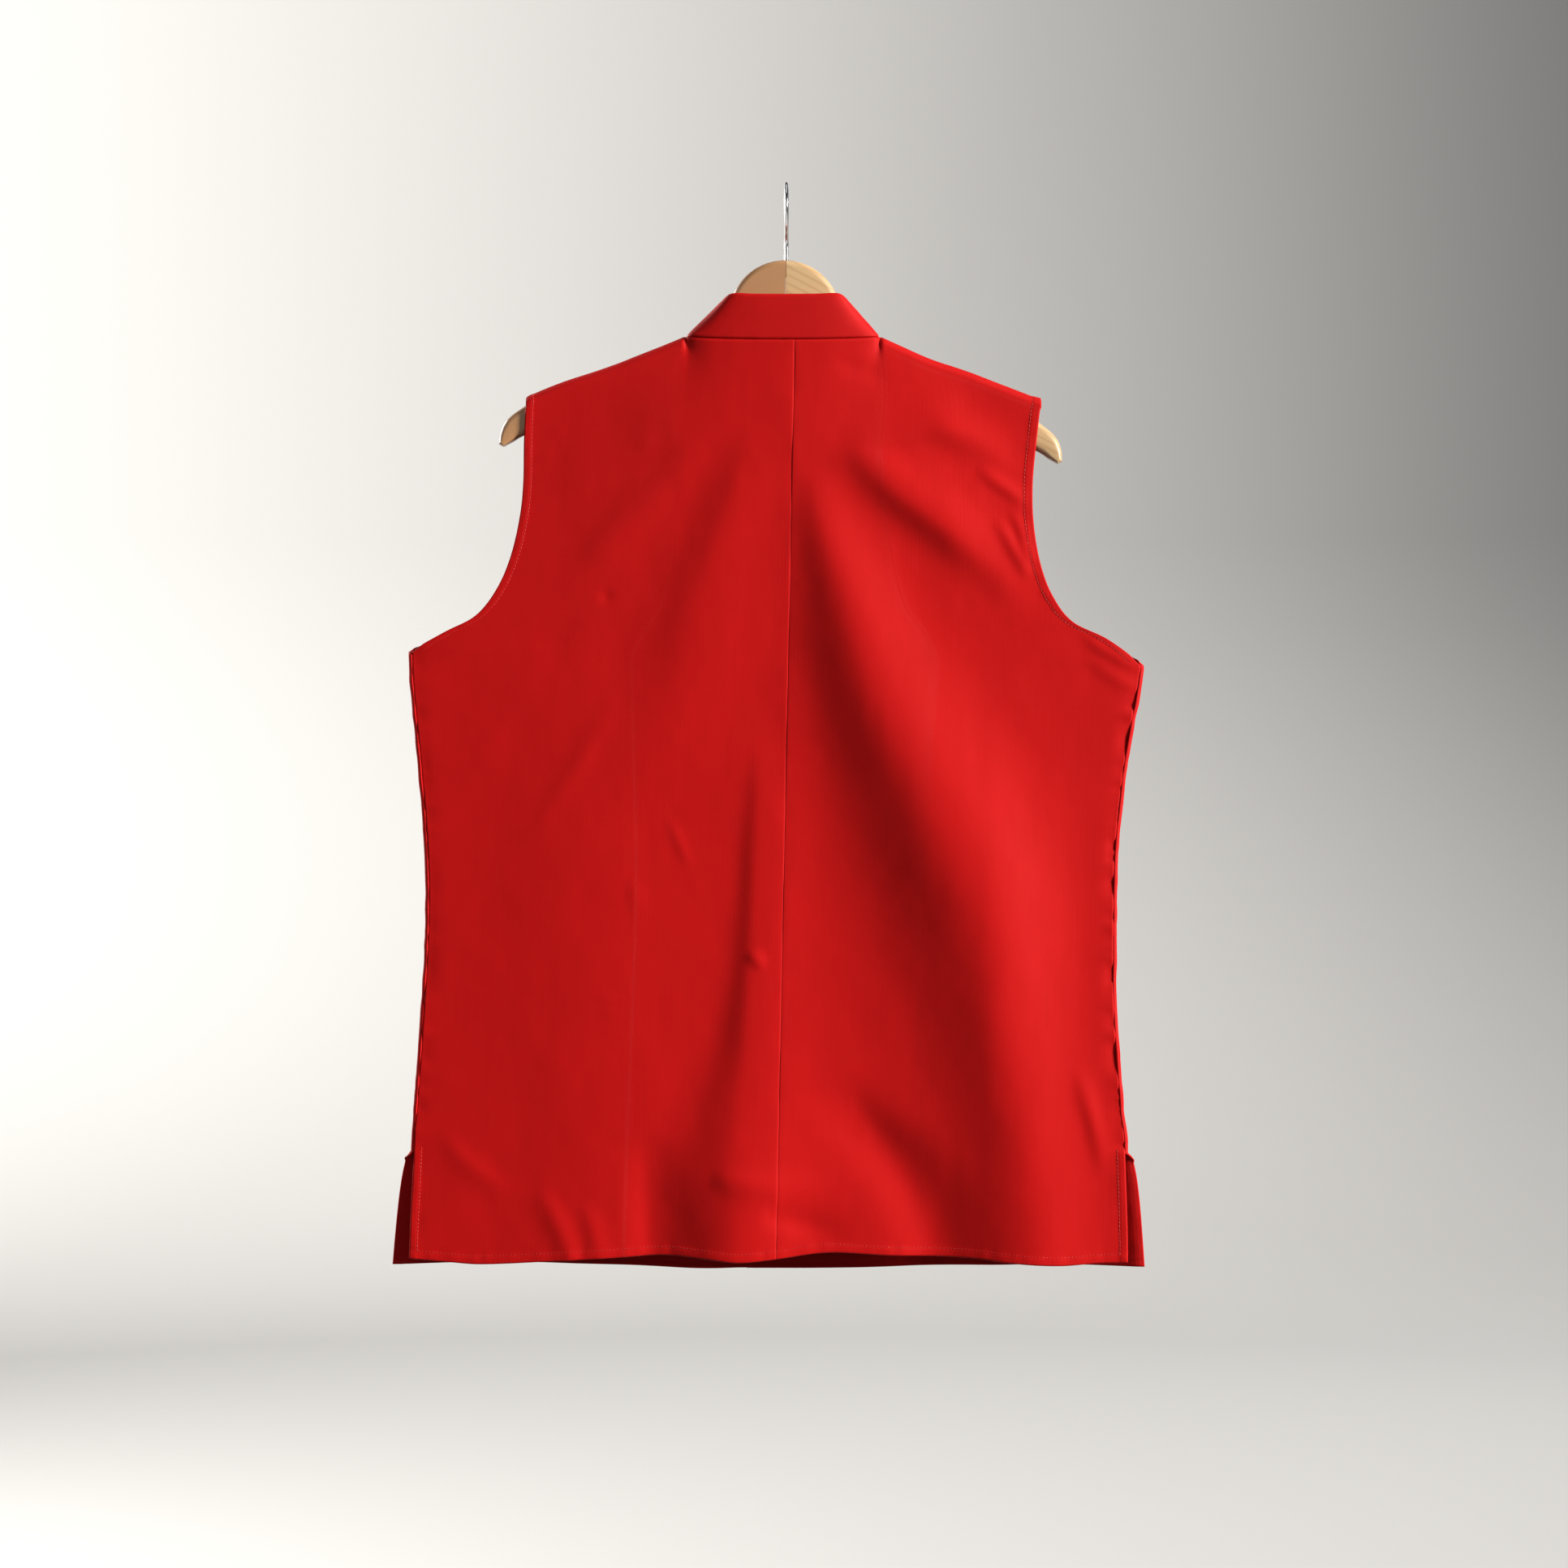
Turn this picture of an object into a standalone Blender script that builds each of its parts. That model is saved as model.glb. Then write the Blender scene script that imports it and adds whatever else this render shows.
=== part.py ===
"""Nehru jacket: a sleeveless jacket with a band collar, hanging on a wooden hanger with a wire hook.

The origin is the inside top of the hook, where the rod holds it. +Z is up, the front of the jacket
faces -Y and the wearer's left is +X. All lengths are millimetres, and become metres in the meshes.
"""
import math

import bmesh
import bpy
import numpy as np
from mathutils import Vector

MM = 0.001
LEFT, RIGHT = 1, -1

# Cloth and seams
CLOTH = 1.6
COLLAR_CLOTH = 2.6
SEAM_GAP = 0.6
FREE_CLEARANCE = 0.35
CLOTH_SHARP_ANGLE = 50.0
HARD_SHARP_ANGLE = 40.0

# Hanger: two wooden halves, swept forward from the middle and hanging a little to one side
WOOD_TOP = -58.6
WOOD_THICKNESS = 12.0
WOOD_ROUNDING = 5.0
ROUNDING_STEPS = 3
DOME_RADIUS = 44.3
DOME_ANGLE = 72.0
DOME_STEPS = 8
ARM_TOP_STEPS = 20
ARM_BOTTOM_STEPS = DOME_STEPS + ARM_TOP_STEPS + 1
TIP_EASE = 16.0
TIP_ROUNDING_SHARE = 0.25
SWEEP = math.tan(math.radians(2.5))
HANGER_ROLL = math.radians(1.8)
JOINT_GAP = 0.3

# Wire hook
WIRE_RADIUS = 1.8
BOW_RADIUS = 19.7
BOW_START = -52.0
BOW_TURN = 250.0
BOW_STEPS = 18
STEM_DEPTH = 14.0
HOLE_CLEARANCE = 0.3
HOLE_SIDES = 16

# Neck and shoulders
NECK_X = 2.8
NECK_HALF_WIDTH = 76.0
NECK_BACK_Y = 15.0
NECK_BACK_Z = -122.8
NECK_FRONT_Y = -53.5
NECK_FRONT_Z = -193.0
NECK_COLUMN_SHARE = 0.42
NECK_BACK_FLATNESS = 0.6
RIDGE_RADIUS = WOOD_THICKNESS / 2 + FREE_CLEARANCE + CLOTH / 2
SHOULDER_SEAM_ANGLE = -20.0
WRAP_ROWS = 4
WRAP_STEP = 3.3
FULL_WRAP = 70.0

# Collar
COLLAR_SIDE_SHARE = 0.45
COLLAR_END_GAP = 4.0
COLLAR_STATIONS = 16
COLLAR_ROWS = 3
COLLAR_CORNER = 7.0
COLLAR_CORNER_REACH = 0.075
COLLAR_LIFT = 2.8
COLLAR_BULGE = 2.0
COLLAR_BULGE_START, COLLAR_BULGE_FULL = 0.5, 0.8
COLLAR_TOP_X = 0.84

# Body
BACK_LEAN = math.tan(math.radians(1.17))
FRONT_LEAN = math.tan(math.radians(0.95))
BACK_SEAM_TOP_X = -6.5
UNDERARM_CENTRE_Z = -373.5
BACK_HEM_CENTRE_Z = -842.5
FRONT_HEM_CENTRE_Z = -860.5
HEM_CURVE_START, HEM_CURVE_END = 0.1, 0.9
HANG_STATION = 0.2
YOKE_FADE = 85.0
CORNER_EASE = 25.0
CORNER_REACH = 38.0
SIDE_SEAM_INSET = 3.1
SIDE_CLOSING = 0.5

# Outer strip of each front, which wraps back to the side seam
SIDE_FOLD_RADIUS = 3.1
SIDE_FOLD_END = 75.0
STRIP_STEPS = (0.3, 0.58, 0.82, 1.0)
VENT_OPENING = 0.12
VENT_FLARE = 14.5
VENT_FLARE_POWER = 0.55

# Overlap of the fronts
OVERLAP = 17.0
OVERLAP_SHARE = 0.0595
OVERLAP_LIFT = 1.15
OVERLAP_FLAT = 20.0
OVERLAP_FADE = 45.0
FRONT_FOLD_REACH = 42.5

# How the folds fade towards the panel's edge
FOLD_EDGE_START, FOLD_EDGE_END = 0.86, 0.98

# Buttons
BUTTON_RADIUS = 9.5
BUTTON_THICKNESS = 3.4
BUTTON_TOP = -216.0
BUTTON_SPACING = 112.0
BUTTON_COUNT = 5
BUTTON_SIDES = 24

# Rows and columns of the panels. A station counts the rows of the armhole and side tables.
BACK_STATIONS = (0.55, 1, 1.6, 2.2, 3, 3.8, 4.6, 5.4, 6.2, 7, 7.6, 8, 8.3, 8.7, 9.2, 9.7, 10.1, 10.5,
                 10.9, 11.3, 11.7, 12.1, 12.5, 12.9, 13.3, 13.7, 14.1, 14.5, 15, 15.25, 15.5, 15.75, 16)
FRONT_STATIONS = (0.6, 1.2, 2, 3, 4, 5, 6, 7, 7.5, 8, 8.4, 9, 9.6, 10.2, 10.8, 11.4, 12, 12.6, 13.2,
                  13.8, 14.4, 15, 15.15, 15.5, 16)
BACK_NECK_COLUMNS = 8
BACK_SHOULDER_COLUMNS = 10
FRONT_NECK_COLUMNS = 6
FRONT_SHOULDER_COLUMNS = 7


def table(columns, *rows):
    """Rows with named columns."""
    names = columns.split()
    return [dict(zip(names, row)) for row in rows]


# The shoulder's ridge over the hanger, from the neck to the armhole.
RIDGE = table(
    "left_x right_x height",
    (79, -73, -118.4),
    (97, -89, -125.7),
    (122, -111, -135.5),
    (148, -141, -145.2),
    (179, -167, -155.0),
    (203, -193, -164.8),
    (206, -201, -167.0))

# The edge of the armhole, from the shoulder tip to the underarm.
ARMHOLE = table(
    "left_x left_z right_x right_z",
    (205.5, -167, -201, -168),
    (207, -203, -197, -203),
    (207.5, -235, -194, -235),
    (210, -261, -194.5, -266),
    (217, -292, -199.5, -297),
    (228, -318, -209, -323),
    (244.5, -339, -225, -344),
    (269, -352, -253, -358),
    (298.5, -368, -282.5, -379))

# The side, from the underarm past the top of the vent, which is the row before the last, to the hem.
SIDE = table(
    "left_x left_z right_x right_z",
    (298.5, -368, -282.5, -379),
    (297, -397, -278, -407),
    (292, -449, -269.5, -455),
    (286, -520, -262, -523),
    (285, -578, -260.5, -578),
    (288.5, -649, -260.5, -649),
    (294, -727, -265.5, -727),
    (296.5, -763, -269, -763),
    (297, -852, -268, -853))

UNDERARM = len(ARMHOLE) - 1
VENT_TOP = UNDERARM + len(SIDE) - 2
HEM = UNDERARM + len(SIDE) - 1

# How far back or forward each panel stands, at its centre and at its edge, going down the jacket.
# The right side seam swings back a little towards the hem.
DEPTH = table(
    "height back back_edge front_edge front fullness right_shift",
    (-120, 14.5, -2, -17, -49.5, 1.1, 0),
    (-200, 13.5, -1.5, -20, -52, 1.3, 0),
    (-290, 12.5, -0.5, -18, -51, 1.5, 0),
    (-345, 12, 0.5, -10.5, -49, 1.7, 0),
    (-372, 11.5, 1.5, -4.7, -47.5, 1.9, 0),
    (-520, 10.5, 2.5, -3.7, -42, 2.0, 2),
    (-650, 10.5, 2.5, -3.7, -41, 2.0, 5),
    (-763, 11.5, 2.5, -3.7, -44, 2.0, 7),
    (-855, 12.5, 3, -7.5, -47, 2.0, 7.5))

# Top edge of the collar, from the centre back to the centre front. Share is the way round the neck.
COLLAR_TOP = table(
    "share x y z",
    (0.0, 0, 17.5, -87.4),
    (0.13, 24.5, 16.5, -87.2),
    (0.26, 42.5, 12, -86.5),
    (0.45, 53, -5, -92),
    (0.62, 54, -33.5, -117),
    (0.81, 36, -60.5, -148),
    (1.0, 0, -71.5, -161))


def fold(*rows):
    """Path of a fold, going down, with its height and its width towards the wearer's left and right.

    A height below 0 is a trough."""
    return table("x z height left right", *rows)


# Largest folds of the back
BACK_FOLDS = [
    fold((-22, -225, 0, 12, 14), (-29, -271, 4.5, 18, 22), (-45, -322, 8.5, 27, 33),
         (-67, -392, 12.5, 38, 46), (-103, -470, 15.5, 48, 58), (-133, -530, 17.5, 56, 66),
         (-159, -583, 17, 64, 72), (-182, -671, 13.5, 60, 66), (-202, -748, 10.5, 54, 54),
         (-212, -811, 9, 50, 46), (-216, -850, 8.5, 48, 42)),
    fold((-50, -205, 0, 12, 14), (-71, -227, 3, 14, 16), (-102, -252, 4.6, 14, 24),
         (-140, -279, 5, 16, 26), (-178, -309, 4, 16, 22), (-202, -335, 0, 12, 12)),
    fold((-60, -168, 0, 10, 12), (-83, -179, 2.4, 10, 20), (-128, -189, 5, 12, 24),
         (-160, -202, 5, 12, 20), (-186, -226, 1.5, 10, 12)),
    fold((20, -440, 0, 12, 20), (21, -468, 1.2, 12, 26), (25, -570, 3.2, 14, 38), (27.5, -621, 3.8, 14, 42),
         (31, -684, 4.8, 18, 46), (35, -722, 5.8, 24, 52), (40, -779, 8, 42, 50), (47, -850, 7.5, 44, 46)),
    fold((-42, -700, 0, 26, 20), (-55, -729, -3, 26, 15), (-74, -754, -4.5, 24, 16),
         (-93, -779, -5, 24, 20), (-112, -817, -4.5, 24, 24), (-120, -850, -4, 24, 24)),
    fold((132, -366, 0, 60, 60), (145, -450, 1.6, 70, 60), (158, -540, 2.4, 80, 66), (158, -640, 2.6, 80, 66),
         (150, -740, 2, 70, 60), (150, -850, 1.5, 60, 60))]

# Largest folds of the fronts, which hang from the shoulders past the neck
FRONT_FOLDS = [
    fold((112, -175, 0, 14, 14), (108, -240, 3, 24, 24), (100, -330, 4.5, 28, 28), (86, -470, 4.5, 31, 31),
         (95, -640, 4.5, 33, 33), (120, -790, 5, 37, 37), (126, -870, 5, 38, 38)),
    fold((72, -235, 0, 18, 20), (60, -330, -2.5, 22, 24), (46, -470, -4, 24, 26), (50, -620, -4, 24, 28),
         (64, -760, -4, 26, 28), (72, -870, -4, 26, 28)),
    fold((196, -385, 0, 20, 24), (186, -480, 2.5, 28, 30), (180, -570, 3.5, 30, 30), (195, -720, 3.5, 30, 30),
         (202, -870, 3.5, 30, 30)),
    fold((-112, -175, 0, 13, 13), (-106, -250, 3, 23, 23), (-90, -340, 4, 27, 27), (-80, -500, 4, 29, 29),
         (-95, -660, 4.5, 30, 30), (-112, -870, 4.5, 33, 33)),
    fold((-152, -290, 0, 20, 18), (-142, -440, -3.5, 24, 24), (-150, -600, -4, 24, 26),
         (-166, -760, -4, 26, 26), (-172, -870, -4, 26, 26))]

# Outline of one hanger arm below the dome, measured from the top centre of the wood.
ARM_TOP = table(
    "out up",
    (46, -40),
    (54, -49.5),
    (65, -60),
    (76, -67),
    (98, -75.3),
    (131, -88.2),
    (160, -98.2),
    (179, -104.7),
    (195, -114.3),
    (204, -121),
    (214, -128.5),
    (219.5, -135),
    (222.3, -143),
    (223, -151.5))
ARM_BOTTOM = table(
    "out up",
    (219.5, -153.2),
    (211.8, -149),
    (203.4, -143.8),
    (180, -132.5),
    (150, -121),
    (100, -103),
    (60, -84),
    (30, -71),
    (0, -67))

# The hook's stem in the wood and above it, measured from the top of the wood, up to the bow.
STEM = table(
    "out up",
    (0.0, -STEM_DEPTH),
    (0.0, 0.0),
    (0.0, 9.0),
    (0.8, 14.0),
    (4.5, 18.5))

# Half of a button's section, as shares of its radius and thickness, from the middle of its back.
BUTTON_SECTION = table(
    "out up",
    (0.0, 0.0),
    (0.8, 0.0),
    (1.0, 0.45),
    (0.94, 0.9),
    (0.8, 1.0),
    (0.62, 0.72),
    (0.0, 0.62))


def blend(low, high, share):
    """The value a share of the way from low to high."""
    return low + (high - low) * share


def ease(value, start, end):
    """0 before start, 1 after end, with a smooth rise between them."""
    share = max(0.0, min(1.0, (value - start) / (end - start)))
    return share * share * (3 - 2 * share)


def smooth(knots, values, at):
    """The smooth curve through the values at increasing knots, level past its ends."""
    last = len(knots) - 1
    at = max(knots[0], min(knots[last], at))
    i = max(k for k in range(last) if knots[k] <= at)
    slopes = []
    for k in (i, i + 1):
        low, high = max(k - 1, 0), min(k + 1, last)
        slopes.append((values[high] - values[low]) / (knots[high] - knots[low]))
    span = knots[i + 1] - knots[i]
    s = (at - knots[i]) / span
    return ((2 * s ** 3 - 3 * s ** 2 + 1) * values[i] + (s ** 3 - 2 * s ** 2 + s) * span * slopes[0]
            + (3 * s ** 2 - 2 * s ** 3) * values[i + 1] + (s ** 3 - s ** 2) * span * slopes[1])


def column(rows, name):
    return [row[name] for row in rows]


def depth(name, height):
    """A column of the depth table at a height."""
    knots = [-value for value in column(DEPTH, "height")]
    return smooth(knots, column(DEPTH, name), -height)


def side_name(side):
    return "left" if side == LEFT else "right"


def centre_x(front, height):
    """The centre line of the fronts or the back, which lean a little as the jacket hangs."""
    if front:
        return NECK_X + FRONT_LEAN * max(0.0, NECK_FRONT_Z - height)
    return BACK_SEAM_TOP_X + BACK_LEAN * (NECK_BACK_Z - height)


def edge_point(side, station):
    """Outline of the armhole and side at a station, which counts the rows of the two tables."""
    rows, start = (ARMHOLE, 0) if station <= UNDERARM else (SIDE, UNDERARM)
    knots = [start + i for i in range(len(rows))]
    name = side_name(side)
    return tuple(smooth(knots, column(rows, name + axis), station) for axis in ("_x", "_z"))


def ridge_height(side, x):
    knots = [abs(value) for value in column(RIDGE, side_name(side) + "_x")]
    return smooth(knots, column(RIDGE, "height"), abs(x))


def ridge_y(x):
    return -SWEEP * abs(x)


def neck_point(side, front, angle):
    """Neck seam: angle 0 is the centre back or front, 90 the shoulder seam."""
    side_x = NECK_X + side * NECK_HALF_WIDTH
    turn = math.radians(SHOULDER_SEAM_ANGLE)
    shoulder_y = ridge_y(side_x) + RIDGE_RADIUS * math.sin(turn)
    shoulder_z = ridge_height(side, side_x) - RIDGE_RADIUS * (1 - math.cos(turn))
    centre_y = NECK_FRONT_Y if front else NECK_BACK_Y
    centre_z = NECK_FRONT_Z if front else NECK_BACK_Z
    a = math.radians(angle)
    x = NECK_X + side * NECK_HALF_WIDTH * math.sin(a)
    forward = math.cos(a) if front else math.cos(a) ** NECK_BACK_FLATNESS
    return x, blend(shoulder_y, centre_y, forward), blend(shoulder_z, centre_z, math.cos(a))


def top_point(side, front, share):
    """Top edge of a panel: along the neck seam, and then along the shoulder seam to its tip."""
    if share <= NECK_COLUMN_SHARE:
        return neck_point(side, front, 90 * share / NECK_COLUMN_SHARE)
    out = (share - NECK_COLUMN_SHARE) / (1 - NECK_COLUMN_SHARE)
    x = blend(NECK_X + side * NECK_HALF_WIDTH, edge_point(side, 0)[0], out)
    turn = math.radians(SHOULDER_SEAM_ANGLE)
    z = ridge_height(side, x) - RIDGE_RADIUS * (1 - math.cos(turn))
    return x, ridge_y(x) + RIDGE_RADIUS * math.sin(turn), z


def wrap_point(side, front, share, step):
    """The cloth's turn over the hanger, from the top edge (step 0) to where it hangs (step 1)."""
    x, y, z = top_point(side, front, share)
    end = -90.0 if front else 90.0
    sine = (y - ridge_y(x)) / RIDGE_RADIUS
    start = math.degrees(math.asin(max(-1.0, min(1.0, sine))))
    if share > NECK_COLUMN_SHARE:
        start = SHOULDER_SEAM_ANGLE
    seam_share = math.degrees(SEAM_GAP / 2 / RIDGE_RADIUS)
    begin = start + math.copysign(min(seam_share, abs(end - start)), end)
    angle = math.radians(blend(begin, end, step))
    turned = min(1.0, abs(end - start) / FULL_WRAP)
    start = math.radians(start)
    y += RIDGE_RADIUS * (math.sin(angle) - math.sin(start))
    z += RIDGE_RADIUS * (math.cos(angle) - math.cos(start))
    return x, y, z - (1 - turned) * WRAP_ROWS * WRAP_STEP * step


def fold_lift(folds, x, z):
    """Sum of the folds at a place. Each is a soft bell across its path."""
    lift = 0.0
    for rows in folds:
        nearest, own = math.inf, 0.0
        for low, high in zip(rows, rows[1:]):
            dx, dz = high["x"] - low["x"], high["z"] - low["z"]
            off_x, off_z = x - low["x"], z - low["z"]
            s = max(0.0, min(1.0, (off_x * dx + off_z * dz) / (dx * dx + dz * dz)))
            off_x, off_z = off_x - s * dx, off_z - s * dz
            gap = math.hypot(off_x, off_z)
            if gap < nearest:
                nearest = gap
                flank = "right" if dx * off_z < dz * off_x else "left"
                width = blend(low[flank], high[flank], s)
                own = blend(low["height"], high["height"], s) * math.exp(-(gap / width) ** 2)
        lift += own
    return lift


def row_share(side, station):
    """How far down a row lies: from the hanger to the underarm, and from there to the hem."""
    z = edge_point(side, station)[1]
    underarm_z = edge_point(side, UNDERARM)[1]
    if station <= UNDERARM:
        top_z = edge_point(side, HANG_STATION)[1]
        return (top_z - z) / (top_z - underarm_z)
    return (underarm_z - z) / (underarm_z - edge_point(side, HEM)[1])


def settle_length(start_x):
    """How far below the hanger the cloth takes the body's shape: soonest at the neck's corner."""
    from_corner = (abs(start_x - NECK_X) - NECK_HALF_WIDTH) / CORNER_REACH
    return YOKE_FADE - CORNER_EASE * math.exp(-from_corner ** 2)


def hanging_point(side, front, share, station):
    """A point of a panel's middle layer below the hanger. Share 0 is the centre, 1 the edge."""
    start_x, start_y, start_z = wrap_point(side, front, share, 1.0)
    edge_x, edge_z = edge_point(side, station)
    down = row_share(side, station)
    tip_x = edge_point(side, 0)[0]
    top_x = centre_x(front, start_z)
    top_share = (start_x - top_x) / (tip_x - top_x)
    even = 1.0 if station > UNDERARM else ease(down, 0.0, 1.0)
    across = 0.0 if share == 0.0 else blend(top_share, share, even)
    underarm_z = blend(UNDERARM_CENTRE_Z, edge_point(side, UNDERARM)[1], share)
    if station <= UNDERARM:
        z = blend(start_z, underarm_z, down)
    else:
        centre_z = FRONT_HEM_CENTRE_Z if front else BACK_HEM_CENTRE_Z
        hem_z = blend(centre_z, edge_point(side, HEM)[1], ease(share, HEM_CURVE_START, HEM_CURVE_END))
        z = blend(underarm_z, hem_z, down)
    middle_x = centre_x(front, z)
    if front:
        edge_x -= side * SIDE_FOLD_RADIUS
        edge_x += side * VENT_FLARE * max(0.0, station - VENT_TOP) ** VENT_FLARE_POWER
        depth_names = "front", "front_edge"
    else:
        closed = ease(station, UNDERARM - SIDE_CLOSING, UNDERARM) * (1 - ease(station, VENT_TOP, HEM))
        edge_x -= side * SIDE_SEAM_INSET * closed
        depth_names = "back", "back_edge"
    x = blend(middle_x, edge_x, across)
    centre_y, edge_y = (depth(name, z) for name in depth_names)
    if side == RIGHT:
        edge_y += depth("right_shift", z)
    body_share = across
    if station < UNDERARM:
        underarm_x = edge_point(side, UNDERARM)[0]
        body_width = abs(blend(tip_x, underarm_x, ease(down, 0.0, 1.0)) - middle_x)
        body_share = min(1.0, abs(x - middle_x) / body_width)
    body_y = blend(edge_y, centre_y, 1 - body_share ** depth("fullness", z))
    settle = ease(start_z - z, 0.0, settle_length(start_x))
    y = blend(start_y, body_y, settle)
    fade = ease(start_z - z, 0.0, YOKE_FADE) * (1 - ease(across, FOLD_EDGE_START, FOLD_EDGE_END))
    if front:
        fade *= ease(abs(x - middle_x), OVERLAP, FRONT_FOLD_REACH)
        return x, y - fade * fold_lift(FRONT_FOLDS, x, z), z
    return x, y + fade * fold_lift(BACK_FOLDS, x, z), z


def overlapped(side, point):
    """The wearer's left front lies over the right one, so near the centre each moves half a step."""
    x, y, z = point
    near = 1 - ease(abs(x - centre_x(True, z)), OVERLAP_FLAT, OVERLAP_FADE)
    return x, y - side * OVERLAP_LIFT * near, z


def edge_strip(side, main, station, step):
    """The front's outer strip: wraps back to the side seam, and lies flat at armhole and vent."""
    closed = ease(station, UNDERARM - SIDE_CLOSING, UNDERARM)
    closed *= 1 - ease(station, VENT_TOP, VENT_TOP + VENT_OPENING)
    angle = math.radians(-90 + (90 + SIDE_FOLD_END) * step * closed)
    x, y, z = main
    x += side * (SIDE_FOLD_RADIUS * math.cos(angle) + (1 - closed) * SIDE_FOLD_RADIUS * step)
    return x, y + SIDE_FOLD_RADIUS * (1 + math.sin(angle)), z


def column_shares(neck_columns, shoulder_columns):
    """Columns of a panel, with one on the corner where the neck seam meets the shoulder seam."""
    neck = [NECK_COLUMN_SHARE * i / neck_columns for i in range(neck_columns)]
    shoulder = [blend(NECK_COLUMN_SHARE, 1.0, i / shoulder_columns) for i in range(shoulder_columns + 1)]
    return neck + shoulder


def back_grid(side):
    """Rows of points of a back panel, from the top edge to the hem."""
    shares = column_shares(BACK_NECK_COLUMNS, BACK_SHOULDER_COLUMNS)
    grid = []
    for k in range(WRAP_ROWS + 1):
        grid.append([wrap_point(side, False, share, k / WRAP_ROWS) for share in shares])
    for station in BACK_STATIONS:
        grid.append([hanging_point(side, False, share, station) for share in shares])
    for row in grid:
        _, y, z = row[0]
        row[0] = (centre_x(False, z) + side * SEAM_GAP / 2, y, z)
    return grid


def front_places(side):
    """Columns of a front as a side and a share each: two past the centre, then out to the edge."""
    shares = column_shares(FRONT_NECK_COLUMNS, FRONT_SHOULDER_COLUMNS)
    past_centre = [(-side, OVERLAP_SHARE), (-side, OVERLAP_SHARE / 2)]
    return past_centre + [(side, share) for share in shares]


def front_grid(side):
    """Rows of points of a front, from the overlapping centre edge to the side seam."""
    places = front_places(side)
    grid = []
    for k in range(WRAP_ROWS + 1):
        row = [wrap_point(which, True, share, k / WRAP_ROWS) for which, share in places]
        x, y, z = row.pop()
        row += [(x - side * SIDE_FOLD_RADIUS * (1 - step), y, z) for step in (0.0,) + STRIP_STEPS]
        grid.append(row)
    for station in FRONT_STATIONS:
        row = [hanging_point(which, True, share, station) for which, share in places]
        row += [edge_strip(side, row[-1], station, step) for step in STRIP_STEPS]
        grid.append(row)
    return [[overlapped(side, point) for point in row] for row in grid]


def clean_scene():
    for thing in list(bpy.data.objects):
        bpy.data.objects.remove(thing, do_unlink=True)


def finish_material(name, colour, roughness, metallic=0.0):
    material = bpy.data.materials.new(name)
    material.use_nodes = True
    shader = material.node_tree.nodes["Principled BSDF"]
    shader.inputs["Base Color"].default_value = (*colour, 1.0)
    shader.inputs["Roughness"].default_value = roughness
    shader.inputs["Metallic"].default_value = metallic
    return material


def add_solid(name, shape, material, sharp_angle):
    """An object from a finished bmesh, smooth but for the edges sharper than an angle in degrees."""
    mesh = bpy.data.meshes.new(name)
    shape.to_mesh(mesh)
    shape.free()
    mesh.shade_smooth()
    mesh.set_sharp_from_angle(angle=math.radians(sharp_angle))
    mesh.materials.append(material)
    thing = bpy.data.objects.new(name, mesh)
    bpy.context.collection.objects.link(thing)
    return thing


def grid_normals(grid):
    """Unit normals of a grid of points, from the directions to each point's neighbours."""
    last_row, last_column = len(grid) - 1, len(grid[0]) - 1
    normals = []
    for i, row in enumerate(grid):
        normals.append([])
        for j in range(len(row)):
            across = Vector(row[min(j + 1, last_column)]) - Vector(row[max(j - 1, 0)])
            down = Vector(grid[min(i + 1, last_row)][j]) - Vector(grid[max(i - 1, 0)][j])
            normals[-1].append(across.cross(down).normalized())
    return normals


def cloth_wall(name, grid, thickness, material):
    """A closed wall of cloth, half its thickness to each side of a grid of points."""
    shape = bmesh.new()
    normals = grid_normals(grid)
    layers = []
    for offset in (thickness / 2, -thickness / 2):
        layer = []
        for points, directions in zip(grid, normals):
            places = [(Vector(point) + normal * offset) * MM for point, normal in zip(points, directions)]
            layer.append([shape.verts.new(place) for place in places])
        layers.append(layer)
    outer, inner = layers
    rows, columns = len(grid) - 1, len(grid[0]) - 1
    for i in range(rows):
        for j in range(columns):
            shape.faces.new((outer[i][j], outer[i][j + 1], outer[i + 1][j + 1], outer[i + 1][j]))
            shape.faces.new((inner[i][j], inner[i + 1][j], inner[i + 1][j + 1], inner[i][j + 1]))
    rim = [(0, j) for j in range(columns)] + [(i, columns) for i in range(rows)]
    rim += [(rows, columns - j) for j in range(columns)] + [(rows - i, 0) for i in range(rows)]
    for (i, j), (k, m) in zip(rim, rim[1:] + rim[:1]):
        shape.faces.new((outer[i][j], inner[i][j], inner[k][m], outer[k][m]))
    return add_solid(name, shape, material, CLOTH_SHARP_ANGLE)


def build_panels(cloth):
    for side in (LEFT, RIGHT):
        cloth_wall("back_" + side_name(side), back_grid(side), CLOTH, cloth)
        cloth_wall("front_" + side_name(side), front_grid(side), CLOTH, cloth)


def collar_seam(side, share):
    """Neck seam under the collar, by the share of the way from centre back to centre front."""
    if share <= COLLAR_SIDE_SHARE:
        return neck_point(side, False, 90 * share / COLLAR_SIDE_SHARE)
    return neck_point(side, True, 90 * (1 - share) / (1 - COLLAR_SIDE_SHARE))


def collar_top(side, share):
    knots = column(COLLAR_TOP, "share")
    x, y, z = (smooth(knots, column(COLLAR_TOP, name), share) for name in "xyz")
    return COLLAR_TOP_X + side * x, y, z


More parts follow.
